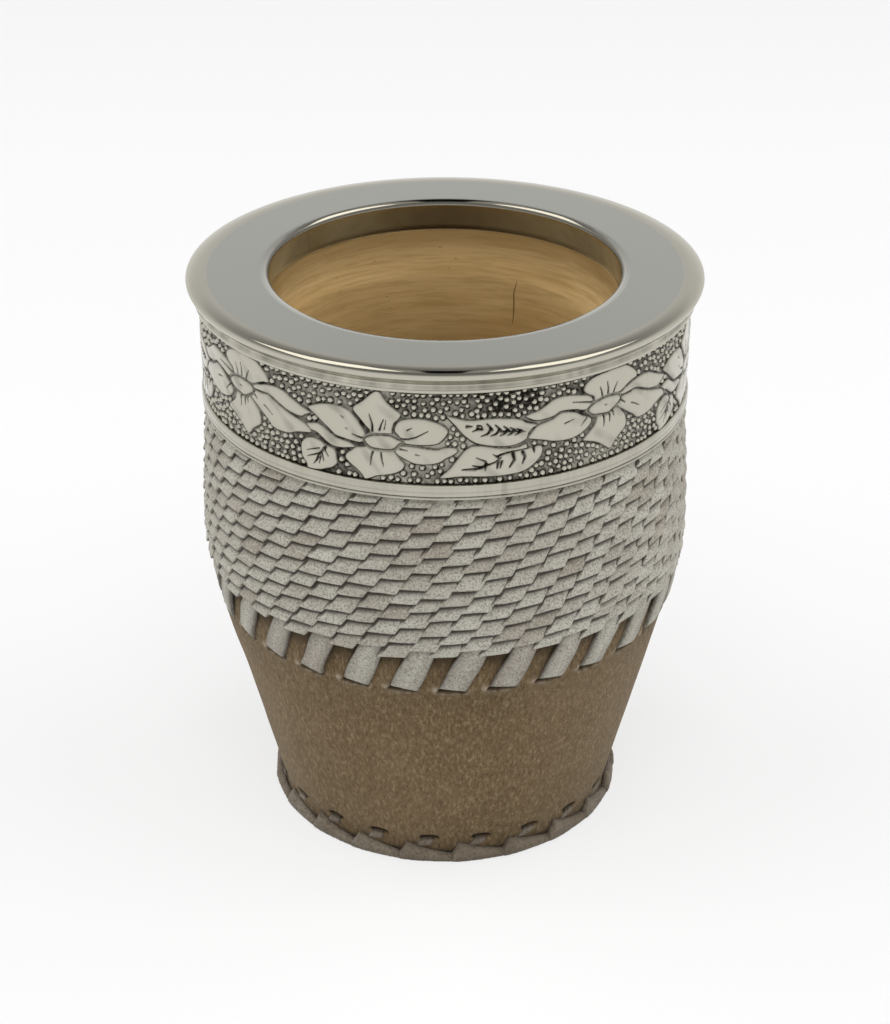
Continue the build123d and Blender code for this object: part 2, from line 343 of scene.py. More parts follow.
class MetalSettings(PropertyGroup):
    """Sizes and colours of the rim, the chased band and the trim."""

    mouth_radius: length("Mouth radius", "Inner radius of the collar", 30.7)
    lip_round: length("Lip rounding", "Radius of the turn into the mouth", 0.5)
    bead_size: length("Bead size", "Width of the beads of the ground", 0.86)
    bead_pitch: length("Bead pitch", "Distance from bead to bead", 1.04)
    relief: length("Relief", "Depth of the ground under the petals", 0.42)
    repeats: IntProperty(name="Repeats", description="Times that the flowers repeat", default=4, min=1)
    silver: colour("Silver", "Polished metal", (0.50, 0.478, 0.405))
    satin: colour("Satin", "Flat top of the rim", (0.495, 0.495, 0.45))
    # colour of the blackened ground, also used for the metal's painted shade
    tarnish_and_shade: colour("Tarnish", "Blackened ground", (0.014, 0.012, 0.009))


class StrapSettings(PropertyGroup):
    """Sizes and colours of the woven straps and their tails."""

    columns: IntProperty(name="Columns", description="Columns of strap ends round the cup", default=60)
    rows: IntProperty(name="Rows", description="Rows of strap ends in a column", default=10)
    row_height: length("Row height", "Height from row to row", 3.0)
    column_foot: length("Column foot", "Lowest edge of the short columns", 50.1)
    lean: FloatProperty(
        name="Lean", description="Columns from upright", default=math.radians(32.5), unit="ROTATION"
    )
    lap: length("Lap", "How far each lower edge stands out", 1.15)
    tail_width: length("Tail width", "Width of a strap tail", 4.7)
    thickness: length("Thickness", "Thickness of a strap", 0.95)
    pale: colour("Pale strap", "Colour of the straps", (0.475, 0.455, 0.388))
    brown: colour("Brown strap", "Browner straps", (0.30, 0.25, 0.198))


class CoverSettings(PropertyGroup):
    """Sizes and colours of the suede cover, its lacing and the sole."""

    taper_radius: length("Shoulder radius", "Radius where the taper ends", 41.0)
    taper_top: length("Shoulder height", "Height where the taper ends", 42.0)
    upright_foot: length("Upright foot", "Height where the side turns upright", 50.0)
    foot_radius: length("Foot radius", "Radius at the lower edge", 31.3)
    turns: IntProperty(name="Lacing turns", description="Turns of the lacing round the base", default=21)
    suede: colour("Suede", "Colour of the cover", (0.176, 0.122, 0.065))
    lacing: colour("Lacing", "Colour of the base strap", (0.185, 0.148, 0.108))


class WoodSettings(PropertyGroup):
    """Sizes and colours of the turned cup."""

    neck_radius: length("Neck radius", "Radius of the cavity's neck", 30.6)
    floor_height: length("Floor height", "Height of the cavity's floor", 15.0)
    pale: colour("Pale wood", "Light rings", (0.72, 0.52, 0.25))
    dark: colour("Dark wood", "Dark rings", (0.58, 0.385, 0.16))


class StudioSettings(PropertyGroup):
    """The floor, the lamps and the camera."""

    camera_distance: length("Camera distance", "From camera to target", 442.8)
    camera_pitch: FloatProperty(
        name="Camera pitch", description="Looking down by", default=math.radians(28.28), unit="ROTATION"
    )
    target_height: length("Target height", "Height looked at", 55.1)
    lens: FloatProperty(name="Lens", description="Focal length in millimetres", default=84.87)
    lamp_power: FloatProperty(
        name="Lamp power", description="Power of each side lamp", default=4.7, unit="POWER"
    )
    world_strength: FloatProperty(
        name="World strength", description="Light from all round", default=0.52
    )


# ----------------------------------------------------------------------------------------------
# The chased band: petals and leaves over a beaded ground, as one height for each point


def rounded(outline, between=4):
    """A closed smooth line through given points: a Catmull-Rom curve with a few steps between each two."""
    points = np.asarray(outline, float)
    before, after, beyond = np.roll(points, 1, 0), np.roll(points, -1, 0), np.roll(points, -2, 0)
    t = (np.arange(between) / between)[None, :, None]
    a, b, c, d = (side[:, None, :] for side in (before, points, after, beyond))
    curve = b + 0.5 * t * (c - a) + t**2 * (a - 2.5 * b + 2 * c - 0.5 * d)
    curve = curve + t**3 * 0.5 * (3 * b - 3 * c + d - a)
    return curve.reshape(-1, 2)


def distance_to_line(x, z, start, end):
    """Distance of points to a straight stretch, and how far along it from 0 to 1 they lie."""
    along = np.subtract(end, start)
    t = ((x - start[0]) * along[0] + (z - start[1]) * along[1]) / (along @ along)
    t = np.clip(t, 0, 1)
    return np.hypot(x - start[0] - t * along[0], z - start[1] - t * along[1]), t


def depth_inside(x, z, outline):
    """Signed distance to a closed outline, positive inside.

    A point is inside when a ray from it crosses the outline an odd number of times.
    """
    nearest = np.full(x.shape, np.inf)
    inside = np.zeros(x.shape, bool)
    for start, end in zip(outline, np.roll(outline, -1, 0)):
        nearest = np.minimum(nearest, distance_to_line(x, z, start, end)[0])
        crosses = (start[1] > z) != (end[1] > z)
        if start[1] != end[1]:
            meets = start[0] + (z - start[1]) / (end[1] - start[1]) * (end[0] - start[0])
            inside ^= crosses & (x < meets)
    return np.where(inside, nearest, -nearest)


class Relief:
    """One repeat of the chased pattern on a grid of x round the band and z up it, in millimetres.

    height is 0 on the petals and negative below them, dark is the tarnish from 0 to 1 with a painted shade
    just inside each petal's outline, and outside is the distance from the nearest petal.
    """

    LINE = 0.18  # half width of a cut line

    def __init__(self, x, z, repeat):
        self.x, self.z, self.repeat = x, z, repeat
        self.height = np.full(np.broadcast_shapes(x.shape, z.shape), -1.0)
        self.dark = np.zeros_like(self.height)
        self.outside = np.full_like(self.height, 9.0)

    def windows(self, points, margin):
        """Each place where the repeated shape meets the grid: its slices, its grid and its shift."""
        low, high = np.min(points, 0) - margin, np.max(points, 0) + margin
        for shift in (-self.repeat, 0, self.repeat):
            columns = np.flatnonzero((self.x[0] > low[0] + shift) & (self.x[0] < high[0] + shift))
            rows = np.flatnonzero((self.z[:, 0] > low[1]) & (self.z[:, 0] < high[1]))
            if len(columns) and len(rows):
                part = (slice(rows[0], rows[-1] + 1), slice(columns[0], columns[-1] + 1))
                x, z = np.meshgrid(self.x[0, part[1]] - shift, self.z[part[0], 0])
                yield part, x, z

    def leaf(self, outline):
        """Raises a petal or leaf, clears what lay under it, cuts its outline and paints a shade just inside
        it.
        """
        for part, x, z in self.windows(outline, 1.2):
            depth = depth_inside(x, z, outline)
            inside = depth > 0
            rounded_edge = -0.11 * hump(np.maximum(depth, 0), 0, 0.28)
            line = hump(depth, 0, self.LINE)
            height, dark = self.height[part], self.dark[part]
            height[...] = np.where(inside, rounded_edge, height) - 0.14 * line * inside
            dark[...] = np.where(inside, 0, dark)
            dark[...] = np.maximum(dark, 0.92 * line)
            # painted shade: each petal is a little darker just inside its outline, as a domed petal would
            # look
            shading = 0.16 * np.exp(-np.maximum(depth, 0) / 0.35) * inside
            dark[...] = np.maximum(dark, shading)
            self.outside[part] = np.minimum(self.outside[part], np.maximum(-depth, 0))

    def moat(self, outline, width, dark=0.55):
        """Sinks everything within a distance of an outline, as round a flower's middle."""
        for part, x, z in self.windows(outline, width + 0.5):
            share = smooth_step(-width - 0.08, -width + 0.10, depth_inside(x, z, outline))
            self.height[part] += share * (-0.26 - self.height[part])
            self.dark[part] += share * (dark - self.dark[part])

    def stroke(self, *points, width=0.22, depth=0.18, taper=0.6, dark=1.0):
        """Cuts a line through the given points that tapers towards its last one."""
        points = np.asarray(points, float)
        lengths = np.hypot(*np.diff(points, axis=0).T)
        reach = np.concatenate([[0], np.cumsum(lengths)]) / lengths.sum()
        for part, x, z in self.windows(points, 0.7):
            cut = np.zeros(x.shape)
            for k in range(len(points) - 1):
                far, t = distance_to_line(x, z, points[k], points[k + 1])
                along = reach[k] + t * (reach[k + 1] - reach[k])
                cut = np.maximum(cut, hump(far, 0, width * (1.0 - taper * along), 4))
            on_petal = self.height[part] > -0.5
            self.height[part] -= depth * cut * on_petal
            self.dark[part] = np.maximum(self.dark[part], dark * cut * on_petal)


def draw_leaves(relief, centre, shapes, middle=None, moat=0.42):
    """Raises a list of outlines round a centre in order, then the middle inside a moat."""
    for shape in shapes:
        relief.leaf(rounded(shape) + centre)
    if middle is not None:
        relief.moat(rounded(middle) + centre, moat)
        relief.leaf(rounded(middle) + centre)


def draw_strokes(relief, centre, strokes):
    """Cuts a list of strokes round a centre: each is its width and its points."""
    for width, *points in strokes:
        relief.stroke(*(np.array(point) + centre for point in points), width=width)


def open_flower(relief, centre):
    """The wide flower: two pairs of side lobes, a broad petal above and a pointed one below."""
    upper_left = (
        (-14.8, 1.2), (-13.8, 0.5), (-12.6, 0.1), (-11.0, 0.2), (-9.6, 0.5), (-8.4, 1.0), (-5.8, 0.7),
        (-4.6, 0.3), (-3.5, 0.2), (-2.4, 1.2), (-2.3, 2.0), (-3.1, 2.7), (-4.6, 3.2), (-6.4, 3.6),
        (-8.4, 3.8), (-10.0, 3.5), (-11.4, 2.7), (-12.6, 2.0), (-14.0, 1.7),
    )
    lower_left = (
        (-14.3, -2.7), (-13.2, -1.1), (-12.2, -0.5), (-10.2, 0.0), (-8.6, 0.8), (-7.4, 0.8), (-5.6, 0.3),
        (-4.2, -0.6), (-2.6, -1.4), (-2.4, -2.3), (-3.2, -3.2), (-4.4, -3.9), (-6.2, -4.4), (-8.2, -4.4),
        (-10.0, -4.1), (-11.6, -3.6), (-13.2, -3.2),
    )
    upper_right = (
        (3.4, 1.2), (4.2, 1.7), (5.4, 2.0), (7.0, 2.5), (9.0, 2.8), (11.0, 2.6), (12.6, 1.9), (15.0, 0.8),
        (16.6, 0.1), (15.6, -0.6), (14.4, -1.2), (11.6, -0.8), (8.8, 0.4), (7.4, 0.8), (5.6, 0.7), (4.0, 0.7),
    )
    lower_right = (
        (3.4, 0.2), (4.6, 0.6), (6.0, 0.6), (7.4, 0.8), (8.8, 0.2), (11.8, -1.0), (14.8, -1.9), (16.2, -2.6),
        (16.6, -3.6), (15.0, -4.0), (13.4, -4.4), (12.0, -5.0), (10.0, -5.2), (8.2, -4.9), (7.2, -4.0),
        (5.4, -2.8), (4.2, -1.9), (3.0, -1.0),
    )
    above = (
        (-1.8, 1.3), (-2.2, 2.2), (-3.6, 3.0), (-4.3, 3.9), (-3.9, 4.9), (-2.8, 5.6), (-1.5, 6.0), (1.0, 6.2),
        (4.4, 6.1), (5.4, 5.7), (6.6, 4.9), (7.6, 3.9), (7.7, 2.9), (6.4, 2.6), (5.2, 2.1), (3.6, 1.4),
        (1.0, 1.2),
    )
    below = (
        (-1.0, -1.3), (-1.8, -3.0), (-2.6, -3.8), (-3.6, -4.6), (-4.1, -5.3), (-3.0, -5.8), (-1.6, -6.3),
        (-0.4, -7.0), (0.8, -7.9), (1.7, -8.5), (2.5, -8.0), (3.2, -7.1), (4.4, -6.2), (5.4, -5.4),
        (5.5, -4.3), (5.2, -3.2), (4.4, -2.2), (2.8, -1.0), (1.0, -1.4),
    )
    middle = (
        (-3.2, 0.1), (-2.3, 0.8), (-1.0, 1.2), (0.6, 1.4), (2.2, 1.3), (3.4, 1.0), (3.8, 0.2), (3.0, -0.6),
        (2.0, -1.2), (1.0, -1.6), (-0.5, -1.4), (-1.8, -1.2), (-2.7, -0.7),
    )
    petals = (upper_left, lower_left, upper_right, lower_right, above, below)
    draw_leaves(relief, centre, petals, middle)
    strokes = (
        (0.20, (-0.4, 1.9), (-0.6, 2.8), (-1.0, 3.7)),
        (0.22, (0.8, 1.9), (0.8, 3.0), (0.5, 4.3)),
        (0.22, (2.0, 1.7), (2.2, 2.5), (2.8, 3.6)),
        (0.22, (0.1, -1.9), (0.2, -2.8), (0.1, -3.8)),
        (0.22, (1.4, -2.0), (1.4, -3.2)),
        (0.22, (2.1, -1.6), (2.3, -2.4)),
        (0.20, (-2.6, 1.4), (-4.2, 1.8), (-6.4, 2.3)),
        (0.15, (-7.8, -1.2), (-6.8, -1.0), (-6.0, -0.8)),
        (0.16, (-3.4, -1.2), (-4.1, -1.8), (-4.6, -2.4)),
        (0.12, (6.4, -1.4), (7.4, -1.9), (8.5, -2.6)),
        (0.22, (3.9, -0.1), (4.8, -0.8)),
        (0.11, (0.2, 0.1), (1.0, 0.0)),
    )
    draw_strokes(relief, centre, strokes)


def tall_flower(relief, centre):
    """The flower between the open ones: a pointed petal above, a broad one below and uneven sides."""
    under_left = (
        (-4.2, -1.5), (-5.2, -0.8), (-6.6, -0.5), (-8.0, -0.2), (-9.4, 0.6), (-11.0, 1.5), (-12.6, 1.3),
        (-14.2, 0.8), (-15.1, 0.1), (-13.0, -0.1), (-11.6, -0.3), (-10.5, -1.0), (-9.3, -1.8), (-8.0, -2.2),
        (-6.5, -2.1), (-5.2, -1.8),
    )
    left = (
        (-2.6, 0.8), (-2.8, 1.8), (-3.3, 2.6), (-4.2, 3.9), (-5.2, 4.9), (-6.4, 5.4), (-8.2, 5.6),
        (-10.4, 5.3), (-12.0, 4.7), (-13.2, 4.0), (-11.8, 2.9), (-10.4, 1.8), (-9.2, 0.9), (-8.0, 0.0),
        (-6.6, -0.3), (-5.2, -0.5), (-3.6, -0.6), (-2.8, 0.0),
    )
    upper_right = (
        (3.0, 1.2), (2.2, 2.2), (2.4, 3.3), (3.0, 4.1), (4.2, 4.6), (6.0, 4.8), (7.8, 4.6), (9.6, 4.0),
        (10.8, 3.2), (11.1, 2.4), (10.6, 1.4), (9.8, 0.5), (9.0, 0.1), (7.4, -0.1), (5.6, -0.1), (3.8, 0.1),
    )
    lower_right = (
        (3.4, -0.3), (5.4, -0.3), (7.0, -0.5), (9.2, -0.7), (10.6, -0.3), (12.2, -0.4), (12.7, -1.1),
        (12.0, -1.8), (10.8, -2.4), (9.8, -3.1), (8.6, -3.5), (7.0, -3.7), (5.4, -3.5), (4.3, -3.0),
        (3.2, -2.4), (2.0, -1.6), (2.6, -0.8),
    )
    above = (
        (-1.4, 1.2), (-2.0, 2.0), (-2.6, 2.6), (-3.6, 3.8), (-4.6, 4.9), (-4.8, 5.6), (-4.3, 6.2),
        (-3.2, 7.0), (-2.3, 7.9), (-1.4, 8.8), (-0.5, 9.3), (0.1, 8.9), (0.6, 8.1), (1.3, 7.2), (2.3, 6.3),
        (3.3, 5.6), (3.4, 5.0), (2.9, 4.2), (2.3, 3.6), (2.0, 2.7), (1.6, 1.4),
    )
    below = (
        (-1.8, -1.0), (-3.4, -1.2), (-4.3, -1.4), (-5.2, -2.1), (-6.2, -3.0), (-6.3, -3.9), (-5.3, -4.9),
        (-4.3, -5.6), (-3.5, -6.4), (-2.9, -7.2), (-1.9, -6.9), (-0.7, -6.3), (1.2, -5.9), (2.8, -5.3),
        (3.8, -4.4), (3.9, -3.5), (3.2, -2.7), (1.8, -1.2),
    )
    middle = (
        (-2.9, 0.2), (-2.0, 0.9), (-0.9, 1.2), (0.3, 1.3), (1.6, 1.3), (2.5, 0.9), (3.6, 0.4), (3.0, -0.1),
        (2.3, -0.9), (1.4, -1.25), (-0.3, -1.3), (-1.6, -1.2), (-2.4, -0.7),
    )
    draw_leaves(relief, centre, (under_left, left, upper_right, lower_right, above, below), middle)
    strokes = (
        (0.26, (-1.4, 1.9), (-1.4, 3.2), (-1.9, 4.9)),
        (0.22, (-0.2, 2.2), (0.1, 3.2), (0.5, 4.2)),
        (0.13, (0.6, 2.4), (0.8, 3.3), (0.9, 4.2)),
        (0.22, (-1.4, -1.9), (-1.7, -2.9), (-1.8, -4.3)),
        (0.20, (0.0, -1.9), (0.1, -3.0), (0.4, -4.3)),
        (0.22, (-3.3, 0.4), (-4.1, 0.6), (-4.9, 0.9)),
        (0.22, (3.4, 0.9), (4.6, 1.0), (5.8, 1.4), (6.8, 2.0), (7.8, 2.6)),
        (0.16, (4.4, 2.6), (5.2, 3.1)),
        (0.20, (3.2, -0.9), (4.4, -1.1)),
        (0.12, (5.7, -1.7), (6.5, -1.9)),
        (0.10, (-6.8, 3.8), (-6.2, 3.4)),
        (0.10, (-6.0, 1.8), (-5.6, 1.5)),
    )
    draw_strokes(relief, centre, strokes)


def leaf_pair(relief, centre):
    """Two feathered leaves, one over the other."""
    lower = (
        (-8.9, -6.8), (-7.3, -5.0), (-5.8, -3.0), (-4.8, -1.7), (-3.6, -1.0), (-2.0, -1.0), (0.2, -1.5),
        (2.2, -1.8), (4.0, -1.8), (5.5, -1.4), (5.9, -2.1), (6.9, -2.3), (7.6, -2.0), (8.4, -2.4),
        (8.5, -3.3), (8.1, -4.3), (7.2, -5.3), (5.8, -6.2), (4.0, -6.7), (1.0, -6.9), (-2.0, -6.8),
        (-5.5, -6.6),
    )
    upper = (
        (-7.8, 4.5), (-6.2, 4.2), (-4.8, 3.8), (-3.3, 3.7), (-1.5, 3.8), (0.3, 3.8), (2.0, 3.6), (3.6, 3.4),
        (4.7, 3.0), (5.6, 2.4), (7.5, 1.7), (6.6, 1.1), (6.0, 0.4), (5.7, -0.5), (4.9, -1.1), (3.6, -1.5),
        (2.0, -1.6), (0.3, -1.4), (-1.3, -1.1), (-3.0, -0.6), (-4.4, 0.4), (-5.4, 1.4), (-6.3, 2.6),
    )
    draw_leaves(relief, centre, (lower, upper))
    strokes = [
        (0.24, (-4.4, 2.6), (-3.6, 2.6)),
        (0.20, (-2.7, 2.2), (-2.7, 2.7), (-2.1, 2.6), (-1.9, 2.2)),
        (0.22, (-2.0, 2.0), (-2.6, 2.0), (-3.5, 1.7)),
        (0.20, (1.2, 1.3), (3.2, 1.1), (5.3, 0.8)),
        (0.20, (0.6, -3.2), (1.2, -2.9), (2.4, -2.6), (4.4, -2.4), (6.0, -2.3)),
        (0.24, (-3.0, -5.2), (-5.2, -5.2)),
        (0.20, (-2.2, -4.9), (-3.5, -4.5)),
        (0.18, (-1.3, -4.6), (-1.3, -3.9), (-2.9, -3.1)),
        (0.24, (-1.6, -4.9), (-3.0, -5.3)),
        (0.24, (-1.2, -4.4), (-1.4, -5.5)),
        (0.20, (-1.9, -4.9), (0.2, -4.2), (1.3, -3.4)),
        (0.28, (0.8, -4.1), (0.6, -5.3)),
        (0.20, (1.4, -4.1), (1.1, -5.3)),
        (0.16, (0.8, -3.4), (-0.1, -2.7)),
        (0.30, (3.2, -2.8), (3.5, -4.0), (2.7, -5.3)),
        (0.28, (4.9, -2.8), (5.3, -3.7), (4.9, -4.9)),
        (0.24, (6.8, -2.3), (6.9, -3.2)),
    ]
    for k, at in enumerate((-0.9, 0.5, 1.9, 3.0, 4.1)):
        tall = 1.0 - 0.13 * k
        rib = 1.75 - 0.20 * k
        above = (at + 0.2, rib + 0.6 * tall), (at - 0.3, rib + 1.2 * tall)
        below = (at - 0.2, rib - 0.7 * tall), (at - 1.2 * tall, rib - 1.0 * tall)
        strokes.append((0.24, (at + 0.5, rib), *above))
        strokes.append((0.24, (at + 0.4, rib), *below))
    broader = 1.4
    draw_strokes(relief, centre, [(broader * width, *line) for width, *line in strokes])


def round_leaf(relief, centre):
    """A small round leaf with branching veins."""
    outline = (
        (-3.3, 0.5), (-2.9, 1.6), (-1.9, 2.4), (-0.7, 2.7), (0.7, 2.5), (1.5, 2.0), (2.7, 1.7), (3.5, 1.2),
        (3.7, 0.0), (3.8, -1.1), (2.9, -2.1), (1.8, -2.6), (0.3, -3.2), (-1.9, -3.4), (-2.3, -2.4),
        (-3.1, -1.3),
    )
    draw_leaves(relief, centre, (outline,))
    strokes = (
        (0.34, (1.7, 1.5), (1.0, 0.6), (0.2, -0.4), (-0.2, -1.5)),
        (0.17, (0.5, 1.0), (-0.7, 0.6), (-2.0, 0.1)),
        (0.20, (0.4, 0.0), (-0.8, -0.5), (-1.9, -1.0)),
        (0.20, (0.3, -0.7), (-0.2, -1.4), (-0.7, -2.1)),
        (0.20, (0.7, -0.4), (0.4, -1.8)),
        (0.20, (1.0, 0.1), (1.3, -1.2)),
        (0.18, (1.5, 1.0), (2.2, -0.1)),
    )
    draw_strokes(relief, centre, strokes)


def scatter_beads(rng, relief, pitch):
    """Places for the beads of one repeat, from random places tried in turn.

    Those along a petal or an edge of the band come first. A place is kept when it is clear of the petals
    and of the beads already there.
    """
    tried, from_edge, along_edge, off_petal, beside_petal = 14000, 0.42, 0.62, 0.50, 0.66
    rows, columns = relief.height.shape
    tall = relief.z[-1, 0]
    across = rng.uniform(0, relief.repeat, tried)
    tries = np.stack([across, rng.uniform(from_edge, tall - from_edge, tried)], -1)
    row = np.round(tries[:, 1] / tall * (rows - 1)).astype(int)
    column = np.round(tries[:, 0] / relief.repeat * columns).astype(int) % columns
    clear = relief.outside[row, column]
    tries, clear = tries[clear > off_petal], clear[clear > off_petal]
    beside = (clear < beside_petal) | (tries[:, 1] < along_edge) | (tries[:, 1] > tall - along_edge)
    kept = np.empty((0, 2))
    for place in np.concatenate([tries[beside], tries[~beside]]):
        across = np.abs(kept[:, 0] - place[0])
        across = np.minimum(across, relief.repeat - across)
        if not len(kept) or np.hypot(across, kept[:, 1] - place[1]).min() > pitch * rng.uniform(0.9, 1.12):
            kept = np.concatenate([kept, place[None, :]])
    return kept


def chased_relief(settings, columns, rows):
    """Height, and tarnish with painted shade, of the whole band on a grid of rows by columns, in millimetres.

    The flowers and beads are worked out once and repeated. Each bead is a dome inside a sunk ring set a
    little to its lower right, whose tarnish there is partly painted shade, and a point takes the nearest one.
    """
    width = 2 * math.pi * BAND_RADIUS / MM
    tall = (BAND_TOP - BAND_FOOT) / MM
    repeat = width / settings.repeats
    quarter = columns // settings.repeats
    x = (np.arange(quarter) * repeat / quarter)[None, :]
    z = np.linspace(0, tall, rows)[:, None]
    relief = Relief(x, z, repeat)
    by_degree = width / 360
    shapes = (
        (leaf_pair, 10.6, 7.95),
        (tall_flower, -14.0, 7.15),
        (open_flower, -52.7, 10.15),
        (round_leaf, -29.3, 3.15),
    )
    for draw, degrees, up in shapes:
        draw(relief, np.array([(degrees - BAND_FIRST) * by_degree, up]))
    height, dark, outside = (
        np.tile(layer, (1, settings.repeats)) for layer in (relief.height, relief.dark, relief.outside)
    )

    rng = np.random.default_rng(11)
    best, ring_gap = np.full(relief.height.shape, 9.0), np.full(relief.height.shape, 9.0)
    for place in scatter_beads(rng, relief, settings.bead_pitch / MM):
        radius = settings.bead_size / MM / 2 * rng.uniform(0.84, 1.12)
        # the sunk ring round a bead sits a little to its lower right: tarnish in the ring, and a painted
        # shade crescent on that side
        deepest = place + (0.07, -0.05)
        for part, near_x, near_z in relief.windows(place[None, :], 1.1):
            gap = np.hypot(near_x - place[0], near_z - place[1]) / radius
            best[part] = np.minimum(best[part], gap)
            gap = np.hypot(near_x - deepest[0], near_z - deepest[1]) / radius
            ring_gap[part] = np.minimum(ring_gap[part], gap)
    best, ring_gap = np.tile(best, (1, settings.repeats)), np.tile(ring_gap, (1, settings.repeats))
    floor = -settings.relief / MM
    dome = np.sqrt(np.clip(1 - best**2, 0, 1))
    ring = smooth_step(0.74, 0.98, ring_gap) * smooth_step(1.72, 1.36, ring_gap)
    ground = floor - 0.10 * ring * (best > 1) + 0.38 * dome
    full_x = (np.arange(columns) * width / columns)[None, :]
    angle = full_x / width * 2 * np.pi
    soot = 0.64 + swell(rng, angle, z, 14, 12.0, 0.20) + swell(rng, angle, z, 200, 1.2, 0.14)
    blackest, black_width = 83.0 * by_degree, 8.0 * by_degree
    soot = soot + 0.75 * hump(full_x % repeat, blackest, black_width) * smooth_step(10.5, 13.5, z)
    soot = np.clip(soot, 0.30, 1.0)
    around_beads = np.maximum(ring * np.clip(0.72 + 0.5 * soot, 0, 1), smooth_step(0.95, 1.15, best) * soot)
    around_beads = around_beads * smooth_step(0.86, 1.0, best)
    is_petal = height > -0.9
    edge_dark = (0.80 + swell(rng, angle, z, 60, 3.0, 0.18)) * hump(outside, 0, 0.24)
    edge_dark = np.clip(edge_dark, 0, 1)
    ground_dark = np.maximum(around_beads, edge_dark * (1 - 0.75 * dome))
    # darker along the band's top edge, under the rim's bead, and along its foot, where it is painted shade in
    # the crease above the trim
    rim_dark = 0.4 * hump(z, 0, 0.12) + hump(tall - z, 0, 0.22)
    smudge = np.clip(swell(rng, angle, z, 90, 4.0, 0.30) - 0.08, 0, 0.30)
    dark = np.where(is_petal, np.maximum(dark, smudge), ground_dark)
    dark = np.clip(np.maximum(dark, 0.9 * rim_dark), 0, 1)
    height = np.where(is_petal, height, ground)
    dent = swell(rng, angle, z, 60, 7.0, 0.022)
    return height + np.where(is_petal, dent, 0), dark


def build_chased_band(settings):
    """The chased band in three curved plates: a grid in front, one strip behind."""
    plates = 3
    columns, rows = 173 * plates * settings.repeats, 126
    height, dark = chased_relief(settings, columns, rows)
    z = np.linspace(BAND_FOOT, BAND_TOP, rows)
    lean = np.linspace(BAND_RADIUS - 0.2 * MM, BAND_RADIUS, rows)[:, None]
    radius = lean - 0.05 * MM + height * MM
    start = math.radians(BAND_FIRST)
    pieces = []
    per = columns // plates
    for k in range(plates):
        span = np.arange(k * per, (k + 1) * per + 1)
        angle = start + span[None, :] * 2 * np.pi / columns
        front = on_cup(angle, radius[:, span % columns], z[:, None])
        back = COVER_RADIUS + SKIN_GAP
        behind = on_cup(angle, back, np.array([[BAND_FOOT], [BAND_TOP]]))
        count, wide = front[..., 0].size, per + 1
        low_front, high_front = np.arange(wide), (rows - 1) * wide + np.arange(wide)
        low_back, high_back = count + np.arange(wide), count + wide + np.arange(wide)
        walls = []
        for first, second in ((low_back, low_front), (high_front, high_back), (high_back, low_back)):
            walls.append(np.stack([first[:-1], first[1:], second[1:], second[:-1]], -1))
        faces = np.concatenate([grid_faces(rows, wide), *walls])
        up = np.arange(rows) * wide
        caps = [
            np.concatenate([up, [high_back[0], low_back[0]]]),
            np.concatenate([up[::-1] + wide - 1, [low_back[-1], high_back[-1]]]),
        ]
        points = np.concatenate([front.reshape(-1, 3), behind.reshape(-1, 3)])
        # tarnish, with painted shade, for each point of the front; the walls behind get a plain 0.6
        tarnish_and_shade = np.concatenate([dark[:, span % columns].ravel(), np.full(2 * wide, 0.6)])
        piece = new_piece(
            f"chased_band_{k + 1}", points, faces, caps, {"tarnish_and_shade": tarnish_and_shade}, flat_faces=3 * per
        )
        pieces.append(ride_for(piece, "metal", "chased_band"))
    return pieces


# ----------------------------------------------------------------------------------------------
# Rim and trim


